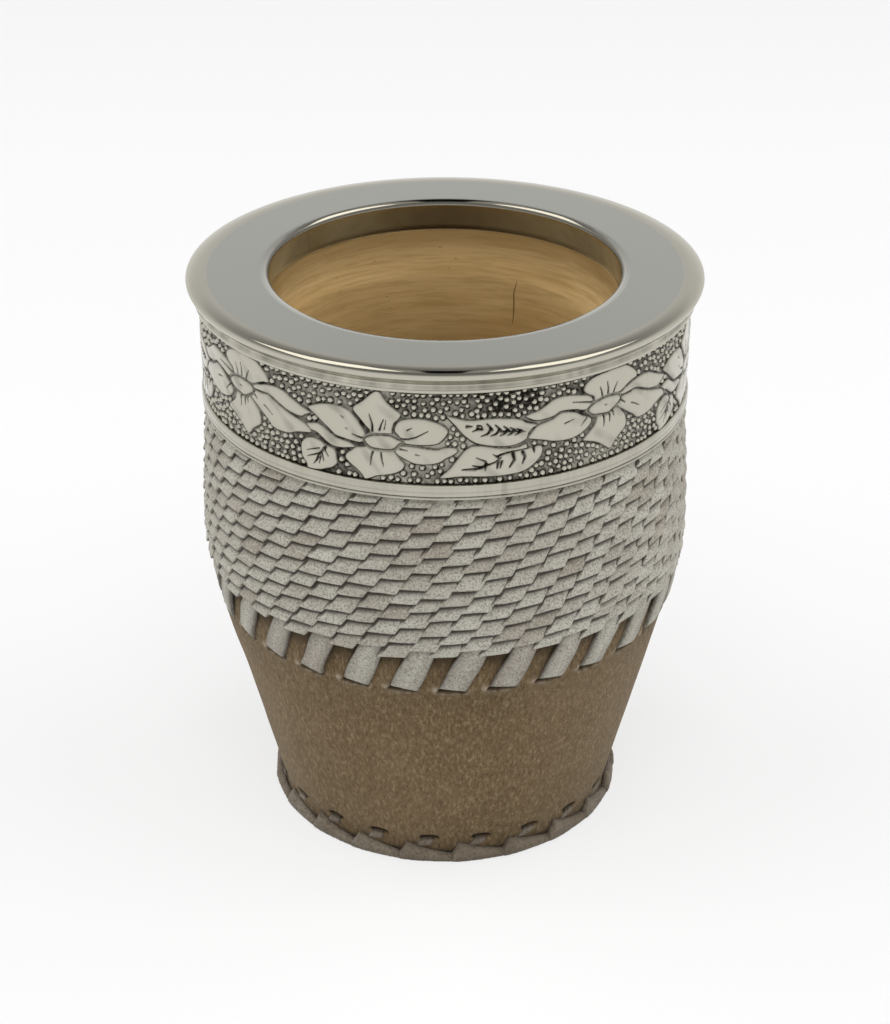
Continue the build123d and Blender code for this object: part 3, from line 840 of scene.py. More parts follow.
def build_rim(settings):
    """The rim: bead, concave edge, flat top, rounded lip and collar, turned as one closed profile."""
    mouth, lip = settings.mouth_radius, settings.lip_round
    edge = RIM_RADIUS
    seat = COVER_RADIUS + 1.05 * MM
    foot = BAND_TOP + 0.05 * MM
    bead_low, bead_high = BAND_TOP + 0.10 * MM, BAND_TOP + 0.80 * MM
    middle = (bead_low + bead_high) / 2
    bead = arc((edge - 1.60 * MM, middle), (0.40 * MM, 0.36 * MM), -80, 62, 12)
    cove = [(1.55, 2.95), (1.56, 2.72), (1.50, 2.50), (1.34, 2.26), (1.06, 1.98), (0.70, 1.68)]
    cove += [(0.40, 1.42), (0.16, 1.14), (0.04, 0.90)]
    cove = np.array([(edge - inward * MM, RIM_TOP - down * MM) for inward, down in cove])
    nose = arc((edge - NOSE_REACH, RIM_TOP - NOSE_DROP), (NOSE_REACH, NOSE_DROP), 0, 90, 24)
    flat = [(edge - NOSE_REACH - 0.3 * MM, RIM_TOP), (edge - NOSE_REACH - 0.8 * MM, RIM_TOP)]
    flat = spread([*flat, (mouth + 1.6 * MM, RIM_TOP)], (3, 20))
    slope = [(1.45, 0.012), (1.35, 0.028), (1.12, 0.074), (0.90, 0.125), (0.70, 0.177), (0.52, 0.228)]
    slope = np.array([(mouth + inward * MM, RIM_TOP - down * MM) for inward, down in slope])
    turn = arc((mouth + lip, RIM_TOP - 0.28 * MM - 0.956 * lip), (lip, lip), 107, 180, 14)
    collar = spread([(mouth, RIM_TOP - 0.5 * MM - lip), (mouth, COLLAR_FOOT + 0.3 * MM)], 5)
    back = [
        (mouth + 0.22 * MM, COLLAR_FOOT),
        (mouth + 0.5 * MM, COLLAR_FOOT),
        (mouth + 0.74 * MM, COLLAR_FOOT + 0.2 * MM),
        (mouth + 0.78 * MM, CUP_TOP + SKIN_GAP),
        (seat, CUP_TOP + SKIN_GAP),
        (seat, foot),
        (edge - 1.9 * MM, foot),
    ]
    profile = np.concatenate([bead, cove, nose, flat, slope, turn, collar, back])
    rng = np.random.default_rng(3)

    def lift(angle, radius, z):
        outer = smooth_step(edge - 2.5 * MM, edge - 1.9 * MM, radius) * (radius < edge - 0.2 * MM)
        return outer * waves(rng, angle, 7, 40, 0.012 * MM)

    def polish(angle, radius, z):
        away = smooth_step(-0.2, -0.8, np.cos(angle))
        start = mouth + 0.60 * MM + 0.75 * MM * away
        on_flat = smooth_step(start, start + 0.15 * MM, radius) * (z > RIM_TOP - 0.6 * lip)
        on_flat = on_flat * smooth_step(edge - NOSE_REACH - 0.3 * MM, edge - NOSE_REACH - 0.8 * MM, radius)
        return 1 - on_flat + 0 * angle

    def patina_and_shade(angle, radius, z):
        # darker at the foot of the bead, where it meets the band
        foot = hump(z, bead_low - 0.02 * MM, 0.12 * MM)
        # the cove above the small bead is darker in streaks: streaky tarnish, and painted shade in the recess
        recess = smooth_step(bead_high - 0.20 * MM, bead_high + 0.05 * MM, z)
        recess = recess * smooth_step(bead_high + 1.0 * MM, bead_high + 0.5 * MM, z)
        streaks = 0.30 + waves(rng, angle, 3, 60, 0.14) + waves(rng, angle, 60, 160, 0.07)
        outer = radius > edge - 2.2 * MM
        # darker in a band just under the turn of the lip, inside the mouth
        inside = 0.06 + 0.74 * hump(z, RIM_TOP - 0.43 * MM, 0.22 * MM)
        inside = inside * (radius < mouth + 0.9 * lip) * (z < RIM_TOP - 0.24 * MM)
        return np.clip(np.maximum((recess * streaks + foot) * outer, inside), 0, 1) + 0 * angle

    def inner(angle, radius, z):
        deep = smooth_step(RIM_TOP - 0.70 * MM, RIM_TOP - 1.3 * MM, z)
        return deep * (radius < mouth + 0.3 * MM) + 0 * angle

    values = {"polish": polish, "tarnish_and_shade": patina_and_shade, "inner": inner}
    rim = turned_ring("metal_rim", profile, 480, lift, values)
    return ride_for(rim, "metal", "rim_ring")


def build_trim():
    """The trim under the band: a thin flange below a flat double bead, closed at a butt seam."""
    inner = COVER_RADIUS + SKIN_GAP
    edge = BAND_RADIUS
    shape = [
        (0.55, 0.00), (0.22, 0.03), (0.10, 0.12), (0.06, 0.25), (0.08, 0.38), (0.22, 0.46), (0.24, 0.52),
        (0.14, 0.60), (0.05, 0.80), (0.02, 1.05), (0.03, 1.25), (0.09, 1.36), (0.10, 1.42), (0.05, 1.50),
        (0.00, 1.75), (0.00, 2.05), (0.03, 2.30), (0.10, 2.46), (0.24, 2.56), (0.42, 2.60),
    ]
    rise = (TRIM_TOP - TRIM_FOOT - 0.02 * MM) / shape[-1][1]
    front = np.array([(edge - inward * MM, TRIM_FOOT + up * rise) for inward, up in shape])
    middle = (TRIM_FOOT + TRIM_TOP) / 2
    back = [(edge - 0.6 * MM, TRIM_TOP), (inner, TRIM_TOP), (inner, middle), (inner, TRIM_FOOT)]
    profile = np.concatenate([front, back])
    rng = np.random.default_rng(4)
    seam = math.radians(13.0)

    def from_seam(angle):
        return np.angle(np.exp(1j * (angle - seam)))

    def lift(angle, radius, z):
        cut = 0.12 * MM * hump(from_seam(angle), 0, 0.004)
        return (waves(rng, angle, 6, 45, 0.02 * MM) - cut) * (radius > inner + 0.1 * MM)

    def patina_and_shade(angle, radius, z):
        groove = 0.8 * hump(z, TRIM_FOOT + 0.49 * rise, 0.07 * MM)
        fine = 0.18 * hump(z, TRIM_FOOT + 1.40 * rise, 0.07 * MM)
        # painted shade along the trim's top, in the crease under the band's foot
        top = 0.35 * hump(z, TRIM_TOP, 0.06 * MM)
        worn = 0.07 + waves(rng, angle, 5, 60, 0.04) + waves(rng, angle, 150, 400, 0.02)
        return np.clip(groove + fine + top + worn + 0.7 * hump(from_seam(angle), 0, 0.005), 0, 1)

    trim = turned_ring("trim_bead", profile, 540, lift, {"tarnish_and_shade": patina_and_shade})
    return ride_for(trim, "metal", "trim_ring")


def metal_material(name, settings, satin=False):
    """Polished metal with tarnish in the low places and painted shade in some creases; the flat top of the
    rim is satin.
    """
    finish = Finish(name)
    cloud = finish.noise(90, 3)
    fine = finish.noise(900, 3, 0.6)
    base = finish.mix(finish.ramp(cloud, 0.3, 0.7, 0, 0.3), rgb(settings.silver), (0.46, 0.435, 0.36))
    roughness = finish.ramp(fine, 0.3, 0.7, 0.13, 0.20)
    if satin:
        polish = finish.attribute("polish")
        base = finish.mix(polish, rgb(settings.satin), base)
        base = finish.mix(finish.attribute("inner"), base, (0.44, 0.50, 0.60))
        roughness = finish.ramp(polish, 0.0, 1.0, 0.27, 0.055)
    # tarnish, with painted shade in creases and just inside the petals
    patina_and_shade = finish.attribute("tarnish_and_shade")
    share = patina_and_shade
    if not satin:
        speckle = finish.ramp(finish.noise(1500, 2), 0.3, 0.7, 0.86, 1.12)
        share = finish.math("MULTIPLY", patina_and_shade, speckle, clamp=True)
    colour = finish.mix(share, base, rgb(settings.tarnish_and_shade))
    rough = finish.math("ADD", roughness, finish.math("MULTIPLY", share, 0.35))
    finish.set(Base_Color=colour, Metallic=1.0, Roughness=rough, IOR=1.5)
    if not satin:
        finish.set(Normal=finish.bump(finish.noise(260, 3, 0.5), 0.10, 0.0004))
    return finish


# ----------------------------------------------------------------------------------------------
# Woven straps


def shells(name, points, values, tube=False):
    """Many closed shells of one shape in one mesh, from points of the form (shell, row, column, 3).

    A patch is closed behind by one many-sided face round its border, and a tube by one at each end.
    """
    count, rows, columns = points.shape[:3]
    shift = by_shell(np.arange(count)) * rows * columns
    faces = (grid_faces(rows, columns, wrap_columns=tube)[None] + shift).reshape(-1, 4)
    number = np.arange(rows * columns).reshape(rows, columns)
    if tube:
        rings = [number[0, ::-1], number[-1]]
    else:
        rings = [np.concatenate([number[:-1, 0], number[-1, :-1], number[:0:-1, -1], number[0, :0:-1]])]
    caps = [ring + k * rows * columns for k in range(count) for ring in rings]
    numbers = {key: np.broadcast_to(value, points.shape[:3]).ravel() for key, value in values.items()}
    return new_piece(name, points.reshape(-1, 3), faces, caps, numbers)


def weave_radius(z):
    """The barrel of the weave: widest low down, drawn in quickly at its foot and slowly to its top."""
    t = (z - WEAVE_FOOT) / (WEAVE_TOP - WEAVE_FOOT)
    low = [0.0, 0.07, 0.16, 0.30, 0.50, 0.67, 0.83, 1.0]
    stand = [1.60, 1.95, 2.10, 2.08, 1.93, 1.65, 1.30, 0.97]
    return COVER_RADIUS + np.interp(t, low, stand) * MM


def build_weave(settings):
    """The woven field: leaning columns of strap ends, each end lapped over the one below it.

    Every second column stands higher and the others are turned back a little, so that the ends alternate.
    The grid of an end is finer where its edges roll under and where the next end begins to cover it.
    """
    rng = np.random.default_rng(21)
    first_column, turned_back, half_wide = math.radians(6.25), math.radians(1.16), math.radians(3.5)
    raised_column, tall_end = 1.4 * MM, 4.3 * MM
    column, row = np.meshgrid(np.arange(settings.columns), np.arange(settings.rows), indexing="ij")
    column, row = column.ravel(), row.ravel()
    count = len(column)
    even = column % 2 == 0
    pitch = 2 * np.pi / settings.columns
    turn = math.tan(settings.lean) / (COVER_RADIUS + 1.9 * MM)
    start = settings.column_foot + np.where(even, raised_column, 0)
    low = start + row * settings.row_height
    foot = first_column + column * pitch - np.where(even, 0, turned_back)
    planned = foot + turn * (low - start)
    middle = planned + rng.normal(0, math.radians(0.11), count)
    middle = middle + math.radians(0.22) * waves(rng, planned, 2, 9, 1)
    low = low + rng.normal(0, 0.12 * MM, count) + waves(rng, middle, 2, 12, 0.14 * MM)
    across = np.array([-1, -0.985, -0.83, -0.77, -0.70, -0.63, -0.1, 0.5, 0.92, 0.985, 1])[None, None, :]
    up = np.array([0, 0.012, 0.05, 0.12, 0.35, 0.54, 0.60, 0.64, 0.68, 0.72, 0.76, 0.80, 1])[None, :, None]
    tall = by_shell(np.minimum(tall_end, WEAVE_TOP - 0.05 * MM - low))
    half = half_wide * by_shell(rng.uniform(0.97, 1.03, count))
    rise = by_shell(rng.normal(0.42, 0.10, count)) * MM
    z = by_shell(low) + tall * up + rise * (across + 1) / 2 * (1 - up)
    bow = 0.08 * by_shell(rng.normal(0, 1, count)) * MM * (across**2) * (1 - up)
    z = z + bow
    angle = by_shell(middle) + half * across + turn * tall * up

    stand = settings.lap * by_shell(rng.uniform(0.85, 1.12, count))
    tilt = by_shell(rng.normal(0.17, 0.06, count)) * MM
    curl = by_shell(rng.normal(0.0, 0.05, count)) * MM
    raised = stand * ((1 - up) ** 0.9 - 1) + tilt * (across - 1) * (1 - 0.4 * up)
    raised = raised + curl * (1 - across**2) * (1 - up)
    inside = (np.abs(across) < 1) & (up > 0) & (up < 1)
    rolled = -0.22 * MM * (np.exp(-up / 0.018) + np.exp(-(1 - np.abs(across)) / 0.05))
    back = COVER_RADIUS + 0.2 * MM
    grain = 0.025 * MM * rng.normal(0, 1, z.shape)
    radius = np.where(inside, weave_radius(z) + 0.05 * MM + raised + rolled + grain, back)
    radius = np.clip(radius, back, WEAVE_REACH)

    tone = rng.normal(0.5, 0.24, count) + 0.12 * waves(rng, middle, 2, 8, 1)
    brown = rng.uniform(0, 1, count) ** 2.4
    far_above = np.full((settings.columns, 1), 1.0)
    next_low = np.append(low.reshape(settings.columns, -1)[:, 1:], far_above, 1).ravel()
    next_rise = np.roll(rise, -1, 0) * (across + 1) / 2
    under_lap = by_shell(next_low) + next_rise - z
    left_wide = 0.22 * (1 - across) / 2 * MM
    # painted shade on the part of this end just below the lower edge of the end that laps over it
    lapped = np.interp((under_lap - left_wide) / MM, [0.34, 0.52, 0.80, 1.4], [1.0, 0.85, 0.22, 0.0])
    # with painted shade along this end's own lower edge, where it rolls under
    ends = np.maximum(lapped, np.interp(up, [0, 0.012, 0.03], [0.9, 0.4, 0.0]))
    covered = np.interp(up, [0.12, 0.35], [0.0, 1.0])
    # painted shade beside the left neighbour's right edge, where that edge covers this end
    tucked = np.interp(across - 0.06 * (up - 0.25), [-0.76, -0.70, -0.64], [1.0, 0.9, 0.0]) * covered
    # darker along this end's left edge where nothing covers it
    open_side = np.interp(across, [-1.0, -0.985, -0.83], [1.0, 0.85, 0.0]) * (1 - covered)
    # darker along this end's right edge
    right_side = np.interp(across, [0.92, 0.985, 1.0], [0.0, 0.5, 1.0]) * (0.8 + 0.2 * covered)
    cut_edge_and_shade = np.maximum.reduce(np.broadcast_arrays(ends, tucked, open_side, right_side))
    weave = shells(
        "strap_weave",
        on_cup(angle, radius, z),
        {
            "tone": by_shell(tone),
            "brown": by_shell(brown),
            "edge": np.broadcast_to(cut_edge_and_shade, radius.shape),
        },
    )
    return ride_for(weave, "strap", "woven_band")


def build_tails(settings):
    """The strap tails: flat bent strips from under the weave down into the slits of the cover."""
    rng = np.random.default_rng(31)
    turned = 5.85  # degrees round the cup from the foot of a tail to its head
    usual_radius = 42 * MM
    count = settings.columns // 2
    k = np.arange(count)
    foot = math.radians(TAIL_FIRST) + k * 2 * np.pi / count + rng.normal(0, math.radians(0.35), count)
    head = math.radians(TAIL_FIRST + turned) + k * 2 * np.pi / count
    t = np.concatenate([[0, 0.02, 0.045, 0.08], np.linspace(0.14, 1, 11)])
    bend_z = [42.4, 42.62, 42.95, 44, 46, 48, 50, 52.3]
    bend_radius = [40.3, 41.2, 41.7, 42.05, 42.4, 42.75, 43.0, 42.7]
    path_z = TAIL_FOOT + t * (bend_z[-1] * MM - TAIL_FOOT)
    reach = np.interp(path_z / MM, bend_z, bend_radius)
    turn = np.linspace(0, 2 * np.pi, 14, endpoint=False)
    wide = np.sign(np.sin(turn)) * np.abs(np.sin(turn)) ** 0.3
    thick = np.sign(np.cos(turn)) * np.abs(np.cos(turn)) ** 0.4
    shape = (count, len(t), len(turn))
    share = t[None, :, None]
    middle = by_shell(foot) * (1 - share) + by_shell(head) * share
    width = settings.tail_width / 2 * by_shell(rng.uniform(0.93, 1.07, count))
    width = width * (1 + 0.05 * np.sin(7 * t + rng.uniform(0, 6, (count, 1))))[:, :, None]
    radius = reach[None, :, None] * MM
    twist = by_shell(rng.normal(0.10, 0.10, count)) * MM
    cup = by_shell(rng.normal(0.06, 0.05, count)) * MM
    sway = rng.normal(0, 0.07, (count, 1, 1)) * MM * np.sin(np.pi * t)[None, :, None]
    radius = radius - settings.thickness / 2 + thick * settings.thickness / 2 + sway
    radius = radius + (twist * wide - cup * wide**2) * np.minimum(1, 3 * t)[None, :, None]
    radius = radius + 0.02 * MM * rng.normal(0, 1, shape)
    z = path_z[None, :, None] - 0.15 * width * wide * (1 - t)[None, :, None] ** 2
    angle = middle + width * wide / usual_radius
    tone = np.clip(rng.normal(0.5, 0.2, count), 0, 1)
    brown = rng.uniform(0, 1, count) ** 2
    edge = np.clip(np.abs(wide) ** 3, 0, 1) * 0.6
    tails = shells(
        "strap_tails",
        on_cup(angle, radius, z),
        {
            "tone": by_shell(tone),
            "brown": by_shell(brown),
            "edge": np.broadcast_to(edge, shape),
        },
        tube=True,
    )
    return ride_for(tails, "strap", "woven_band")


def strap_material(settings):
    """Pale strap: each end has its own tone, with fine speckles, darker cut edges and painted shade where the
    ends lap.
    """
    finish = Finish("strap")
    tone = finish.attribute("tone")
    brown = finish.attribute("brown")
    edge = finish.attribute("edge")
    grain = finish.noise(2900, 2, 0.6)
    cloud = finish.noise(140, 3, 0.6)
    base = finish.mix(finish.math("MULTIPLY", brown, 0.8), rgb(settings.pale), rgb(settings.brown))
    base = finish.mix(finish.ramp(tone, 0.1, 0.9, 0.0, 0.55), base, (0.54, 0.525, 0.46))
    base = finish.mix(finish.ramp(cloud, 0.35, 0.7, 0.0, 0.40), base, (0.30, 0.275, 0.22))
    speckle = finish.ramp(grain, 0.46, 0.64, 0.0, 0.62)
    base = finish.mix(speckle, base, (0.15, 0.132, 0.10))
    light = finish.ramp(finish.noise(2300, 2), 0.52, 0.70, 0.0, 0.5)
    base = finish.mix(light, base, (0.56, 0.545, 0.48))
    # darker cut edges, and painted shade where one end laps over another
    base = finish.mix(finish.math("MULTIPLY", edge, 0.93, clamp=True), base, (0.035, 0.027, 0.019))
    finish.set(Base_Color=base, Roughness=0.82, IOR=1.45, Sheen_Weight=0.08, Sheen_Roughness=0.5)
    finish.set(Normal=finish.bump(grain, 0.6, 0.0002))
    return finish


# ----------------------------------------------------------------------------------------------
# Suede cover, lacing and sole


def cover_line(settings, z):
    """Radius of the cover at a height: a straight taper, then nearly upright."""
    return np.interp(
        z,
        [COVER_FOOT, settings.taper_top, settings.upright_foot, COVER_TOP],
        [settings.foot_radius, settings.taper_radius, COVER_RADIUS, COVER_RADIUS],
    )


def turned_off(angle, first, count):
    """Angle to the nearest of count even places round the cup, the first at first degrees."""
    step = 2 * np.pi / count
    return (angle - math.radians(first) + step / 2) % step - step / 2


def build_cover(settings, tails):
    """The suede cover: a thin tapered shell, cut at each tail and pricked at each turn of the lacing."""
    thick = 1.5 * MM
    hem_foot, hem_top, hem_radius = 1.7, 3.15, 30.45
    levels = [1.65, 1.8, 2.0, 2.3, 2.7, 3.0, 3.2, 3.4, 3.65, 3.9, 4.15, 4.35, 4.6, 4.8, 5.0, 5.2, 5.45]
    levels += [5.8, 6.3, 7.0, 8.2, *np.arange(10, 40, 1.5), *np.arange(40, 45.01, 0.22)]
    levels += [46, 47, 48, 49, 50, 53, 60, 70, 80, 90, 100, CUP_TOP / MM]
    outer_z = np.unique(np.round(levels, 4)) * MM
    outer = np.stack([cover_line(settings, outer_z), outer_z], -1)
    inner_z = np.array([CUP_TOP / MM, 80, 60, 50, 42, 30, 18, 8, 3.2]) * MM
    inner = np.stack([cover_line(settings, inner_z) - thick, inner_z], -1)
    hem = np.array([(hem_radius, hem_top), (hem_radius, hem_foot)]) * MM
    profile = np.concatenate([outer, inner, hem])
    shown = np.arange(len(profile))[:, None] < len(outer)
    rng = np.random.default_rng(41)
    slit_z = TAIL_FOOT - 0.1 * MM

    def from_slit(angle):
        return turned_off(angle, TAIL_FIRST, tails) * COVER_RADIUS

    def from_hole(angle):
        return turned_off(angle, HOLE_FIRST, settings.turns) * settings.foot_radius

    def hole_at(angle, z, width, far, near):
        off = from_hole(angle)
        crescent = HOLE_HEIGHT + 0.35 * MM * (1 - (off / (2 * MM)) ** 2)
        return hump(z, crescent, width) * smooth_step(far, near, np.abs(off))

    def lift(angle, radius, z):
        off = from_slit(angle)
        slit = hump(z, slit_z, 0.36 * MM) * smooth_step(2.9 * MM, 2.3 * MM, np.abs(off))
        ridge = hump(z, slit_z - 0.75 * MM, 0.45 * MM) * hump(off, 0, 2.6 * MM, 4)
        knobs = hump(z, slit_z + 0.5 * MM, 0.60 * MM) * hump(off, -3.0 * MM, 0.50 * MM)
        hole = hole_at(angle, z, 0.35 * MM, 2.0 * MM, 1.2 * MM)
        pull = 0.12 * MM * hump(z, 4.3 * MM, 1.2 * MM) * np.cos(from_hole(angle) / (1.1 * MM))
        uneven = swell(rng, angle, z, 9, 30 * MM, 0.10 * MM) + swell(rng, angle, z, 40, 8 * MM, 0.03 * MM)
        moved = uneven - 1.0 * MM * slit + 0.22 * MM * ridge + 0.35 * MM * knobs - 0.9 * MM * hole + pull
        moved = np.where(shown & (z < 52 * MM), moved, 0)
        from_left = np.angle(np.exp(1j * (angle + np.pi / 2)))
        fuller = 0.4 * MM * hump(from_left, 0, 0.7) * hump(z, 38 * MM, 7 * MM)
        return np.clip(moved, -1.1 * MM, 0.4 * MM) + fuller * shown

    def pale(angle, radius, z):
        off = from_slit(angle)
        broken = 0.55 + waves(rng, angle, 40, 260, 0.35)
        ridge = hump(z, slit_z - 0.45 * MM, 0.26 * MM) * hump(off, 0, 2.7 * MM, 6)
        left = hump(off, -2.95 * MM, 0.55 * MM) * hump(z, slit_z + 0.4 * MM, 0.6 * MM)
        right = hump(off, 2.8 * MM, 0.5 * MM) * hump(z, slit_z, 0.35 * MM)
        return np.clip((ridge + right) * broken + 1.3 * left * (0.4 + broken), 0, 1)

    def shade(angle, radius, z):
        tail_lean = 10.3  # radians that a tail turns in one metre of height
        between = 0.20 * smooth_step(slit_z, slit_z + 1.2 * MM, z)
        between = between + 0.75 * smooth_step(45.5 * MM, 50.0 * MM, z)
        beside = np.abs(from_slit(angle - (z - slit_z) * tail_lean))
        between = between + 0.35 * smooth_step(3.1 * MM, 2.4 * MM, beside) * (z > slit_z)
        below = np.exp(-np.maximum(slit_z - z, 0) / (5.0 * MM)) * (z < slit_z)
        cut = hump(z, slit_z, 0.25 * MM) * (np.abs(from_slit(angle)) < 2.7 * MM)
        hole = hole_at(angle, z, 0.34 * MM, 2.1 * MM, 1.5 * MM)
        from_hem = z - hem_foot * MM
        foot = 0.9 * np.exp(-from_hem / (0.8 * MM)) + 0.25 * np.exp(-from_hem / (4.0 * MM))
        return np.clip(between + 0.30 * below + cut + 1.2 * hole + foot, 0, 1)

    cover = turned_ring("suede_cover", profile, 720, lift, {"pale": pale, "shade": shade})
    return ride_for(cover, "suede", "leather_cover")


def suede_material(settings):
    """Suede: short upright fibres, cloudy tone and a soft sheen at grazing angles."""
    finish = Finish("suede")
    fibre = finish.noise(1.0, 4, 0.85, place=finish.stretched(1900, 1900, 650))
    fine = finish.noise(3400, 2, 0.6)
    cloud = finish.noise(45, 4, 0.6)
    base = finish.mix(finish.ramp(cloud, 0.3, 0.72), rgb(settings.suede), (0.140, 0.094, 0.046))
    base = finish.mix(finish.ramp(fibre, 0.50, 0.64, 0.0, 0.8), base, (0.30, 0.225, 0.130))
    base = finish.mix(finish.ramp(fibre, 0.48, 0.36, 0.0, 0.7), base, (0.070, 0.048, 0.026))
    base = finish.mix(finish.math("MULTIPLY", finish.attribute("pale"), 0.8), base, (0.42, 0.355, 0.27))
    base = finish.mix(finish.math("MULTIPLY", finish.attribute("shade"), 0.85), base, (0.035, 0.023, 0.012))
    finish.set(Base_Color=base, Roughness=0.95, IOR=1.4, Sheen_Weight=0.15, Sheen_Roughness=0.45)
    finish.set(Specular_IOR_Level=0.2, Sheen_Tint=(0.85, 0.78, 0.68, 1))
    both = finish.math("ADD", fibre, finish.math("MULTIPLY", fine, 0.6))
    finish.set(Normal=finish.bump(both, 0.5, 0.0003))
    return finish


def lacing_straps(rng, hole):
    """For each turn a strap that rises to a point, runs on and thins under the next one; and their tones."""
    before_hole, before_peak, long = math.radians(7.6), math.radians(2.4), math.radians(22.5)
    count = len(hole)
    along = np.linspace(0, 1, 34)[None, None, :]
    up = np.array([0, 0.02, 0.1, 0.3, 0.55, 0.8, 0.96, 1])[None, :, None]
    peak_at = 0.13  # share of the strap's length
    reach = long * rng.uniform(0.97, 1.03, count)
    top = 3.75 * MM * by_shell(rng.uniform(0.92, 1.05, count))
    angle = by_shell(hole - before_hole - before_peak) + along * by_shell(reach)
    climb = 0.30 + 0.70 * np.clip(along / peak_at, 0, 1) ** 1.3
    fall = 1 - 0.78 * np.clip((along - peak_at) / (1 - peak_at), 0, 1) ** 0.7
    high = top * climb * fall
    low = 0.02 * MM
    z = low + (high - low) * up
    bulge = np.sin(np.pi * np.clip(0.12 + 0.88 * up, 0, 1)) ** 0.5
    base = LACING_RADIUS - 1.05 * MM
    lie = -0.15 * MM + 0.10 * MM * (1 - smooth_step(0.0, 0.55, along))
    lie = lie + 0.14 * MM * smooth_step(0.0, 0.10, along) * (1 - smooth_step(0.10, 0.60, along))
    radius = base + 0.75 * MM * bulge + lie - 0.25 * MM * up
    edge_up = np.array([0, 0.6, 1, 1, 1, 0.9, 0.5, 0])[None, :, None]
    ends = np.minimum(1, np.minimum(along / 0.02, (1 - along) / 0.02))
    inside = (edge_up > 0) & (ends > 0)
    back = 31.45 * MM - 0.35 * MM * (1 - up)
    uneven = 0.03 * MM * rng.normal(0, 1, z.shape)
    radius = np.where(inside, radius - 0.2 * MM * (1 - edge_up) + uneven, back)
    radius = np.minimum(radius, LACING_RADIUS - 0.02 * MM)
    tone = by_shell(np.clip(rng.normal(0.5, 0.22, count), 0, 1))
    shade = 0.30 * smooth_step(0.55, 0.85, along) + 0.5 * np.exp(-along / 0.02)
    shade = shade + 0.25 * (edge_up < 0.7) + 0.30 * (1 - up) ** 2
    values = {"tone": tone, "shade": np.broadcast_to(shade, z.shape)}
    straps = shells("base_lacing_straps", on_cup(angle, radius, z), values)
    return ride_for(straps, "strap", "base_lacing"), tone


def lacing_tongues(hole, tone):
    """The short stretch of each turn that stands up over the cover and goes into its hole."""
    across = np.array([-1, -0.97, -0.7, 0, 0.7, 0.97, 1])[None, None, :]
    along = np.array([0, 0.03, 0.15, 0.4, 0.7, 0.95, 1])[None, :, None]
    low, high = 2.5 * MM, HOLE_HEIGHT + 0.05 * MM
    z = low + (high - low) * along + 0.5 * MM * across * (1 - along)
    middle = by_shell(hole) - math.radians(1.2) * (1 - along) * 1.6
    angle = middle + math.radians(2.5) * across * (1.25 - 0.45 * along)
    edge_across = np.array([0, 0.6, 1, 1, 1, 0.6, 0])[None, None, :]
    edge_along = np.array([0, 0.7, 1, 1, 1, 0.6, 0])[None, :, None]
    inside = (edge_across > 0) & (edge_along > 0)
    skin = 31.3 * MM + (z - COVER_FOOT) * 0.25
    stand = 0.30 * MM * np.sin(np.pi * np.clip(1.05 - along, 0, 1)) + 0.10 * MM
    radius = np.where(inside, skin + stand * edge_across * edge_along, skin - 0.5 * MM)
    radius = np.minimum(radius, LACING_RADIUS - 0.02 * MM)
    shade = 0.5 * (edge_across < 0.7) + 0.9 * smooth_step(0.8, 1.0, along)
    values = {"tone": tone * 0.8 + 0.25, "shade": np.broadcast_to(shade, z.shape)}
    tongues = shells("base_lacing_tongues", on_cup(angle, radius, z), values)
    return ride_for(tongues, "strap", "base_lacing")


def lacing_core():
    """The ring of strap that shows between the turns, painted dark as shade."""
    corners = np.array([(31.5, 0.05), (31.6, 0.6), (31.5, 1.3), (31.2, 1.6), (30.35, 1.6), (30.3, 0.05)]) * MM
    profile = spread(np.concatenate([corners, corners[:1]]), 3)[:-1]
    values = {
        "tone": lambda angle, radius, z: 0.3 + 0 * angle,
        "shade": lambda angle, radius, z: 1.2 + 0 * angle,
    }
    ring = turned_ring("base_lacing_core", profile, 180, None, values)
    return ride_for(ring, "strap", "base_lacing")


def build_lacing(settings):
    """The lacing at the foot of the cover: its straps, the tongues into the holes and the core under them."""
    rng = np.random.default_rng(51)
    count = settings.turns
    uneven = rng.normal(0, math.radians(0.4), count)
    hole = math.radians(HOLE_FIRST) + np.arange(count) * (2 * np.pi / count) + uneven
    straps, tone = lacing_straps(rng, hole)
    return [straps, lacing_tongues(hole, tone), lacing_core()]


def lacing_material(settings):
    """Grey brown lacing strap, with painted shade at its edges, low down and where it dips under a turn or
    into a hole.
    """
    finish = Finish("lacing")
    grain = finish.noise(1700, 3, 0.7)
    cloud = finish.noise(170, 3, 0.6)
    tone = finish.ramp(finish.attribute("tone"), 0, 1, 0.0, 0.7)
    base = finish.mix(tone, rgb(settings.lacing), (0.24, 0.208, 0.165))
    base = finish.mix(finish.ramp(cloud, 0.35, 0.7, 0.0, 0.6), base, (0.125, 0.096, 0.065))
    base = finish.mix(finish.ramp(grain, 0.45, 0.65, 0.0, 0.6), base, (0.075, 0.058, 0.04))
    shade = finish.math("MULTIPLY", finish.attribute("shade"), 0.8, clamp=True)
    base = finish.mix(shade, base, (0.022, 0.016, 0.010))
    finish.set(Base_Color=base, Roughness=0.9, IOR=1.4, Sheen_Weight=0.1, Sheen_Roughness=0.5)
    finish.set(Normal=finish.bump(grain, 0.5, 0.0003))
    return finish


def build_sole():
    """The sole: a thin disc with a rounded edge, closed on the axis below and above."""
    edge = DISC_RADIUS
    side = arc((edge - 0.5 * MM, 0.5 * MM), (0.5 * MM, 0.5 * MM), -90, 0, 5)
    shoulder = arc((edge - 0.3 * MM, DISC_TOP - 0.3 * MM), (0.3 * MM, 0.3 * MM), 0, 90, 4)
    under = spread([(0.4 * MM, 0), (edge - 0.5 * MM, 0)], 14)[:-1]
    top = spread([(edge - 0.3 * MM, DISC_TOP), (0.4 * MM, DISC_TOP)], 8)[1:]
    profile = np.concatenate([under, side, shoulder, top])
    return closed_disc("sole_disc", profile, np.linspace(0, 2 * np.pi, 121)[:-1], "suede", "base_disc")


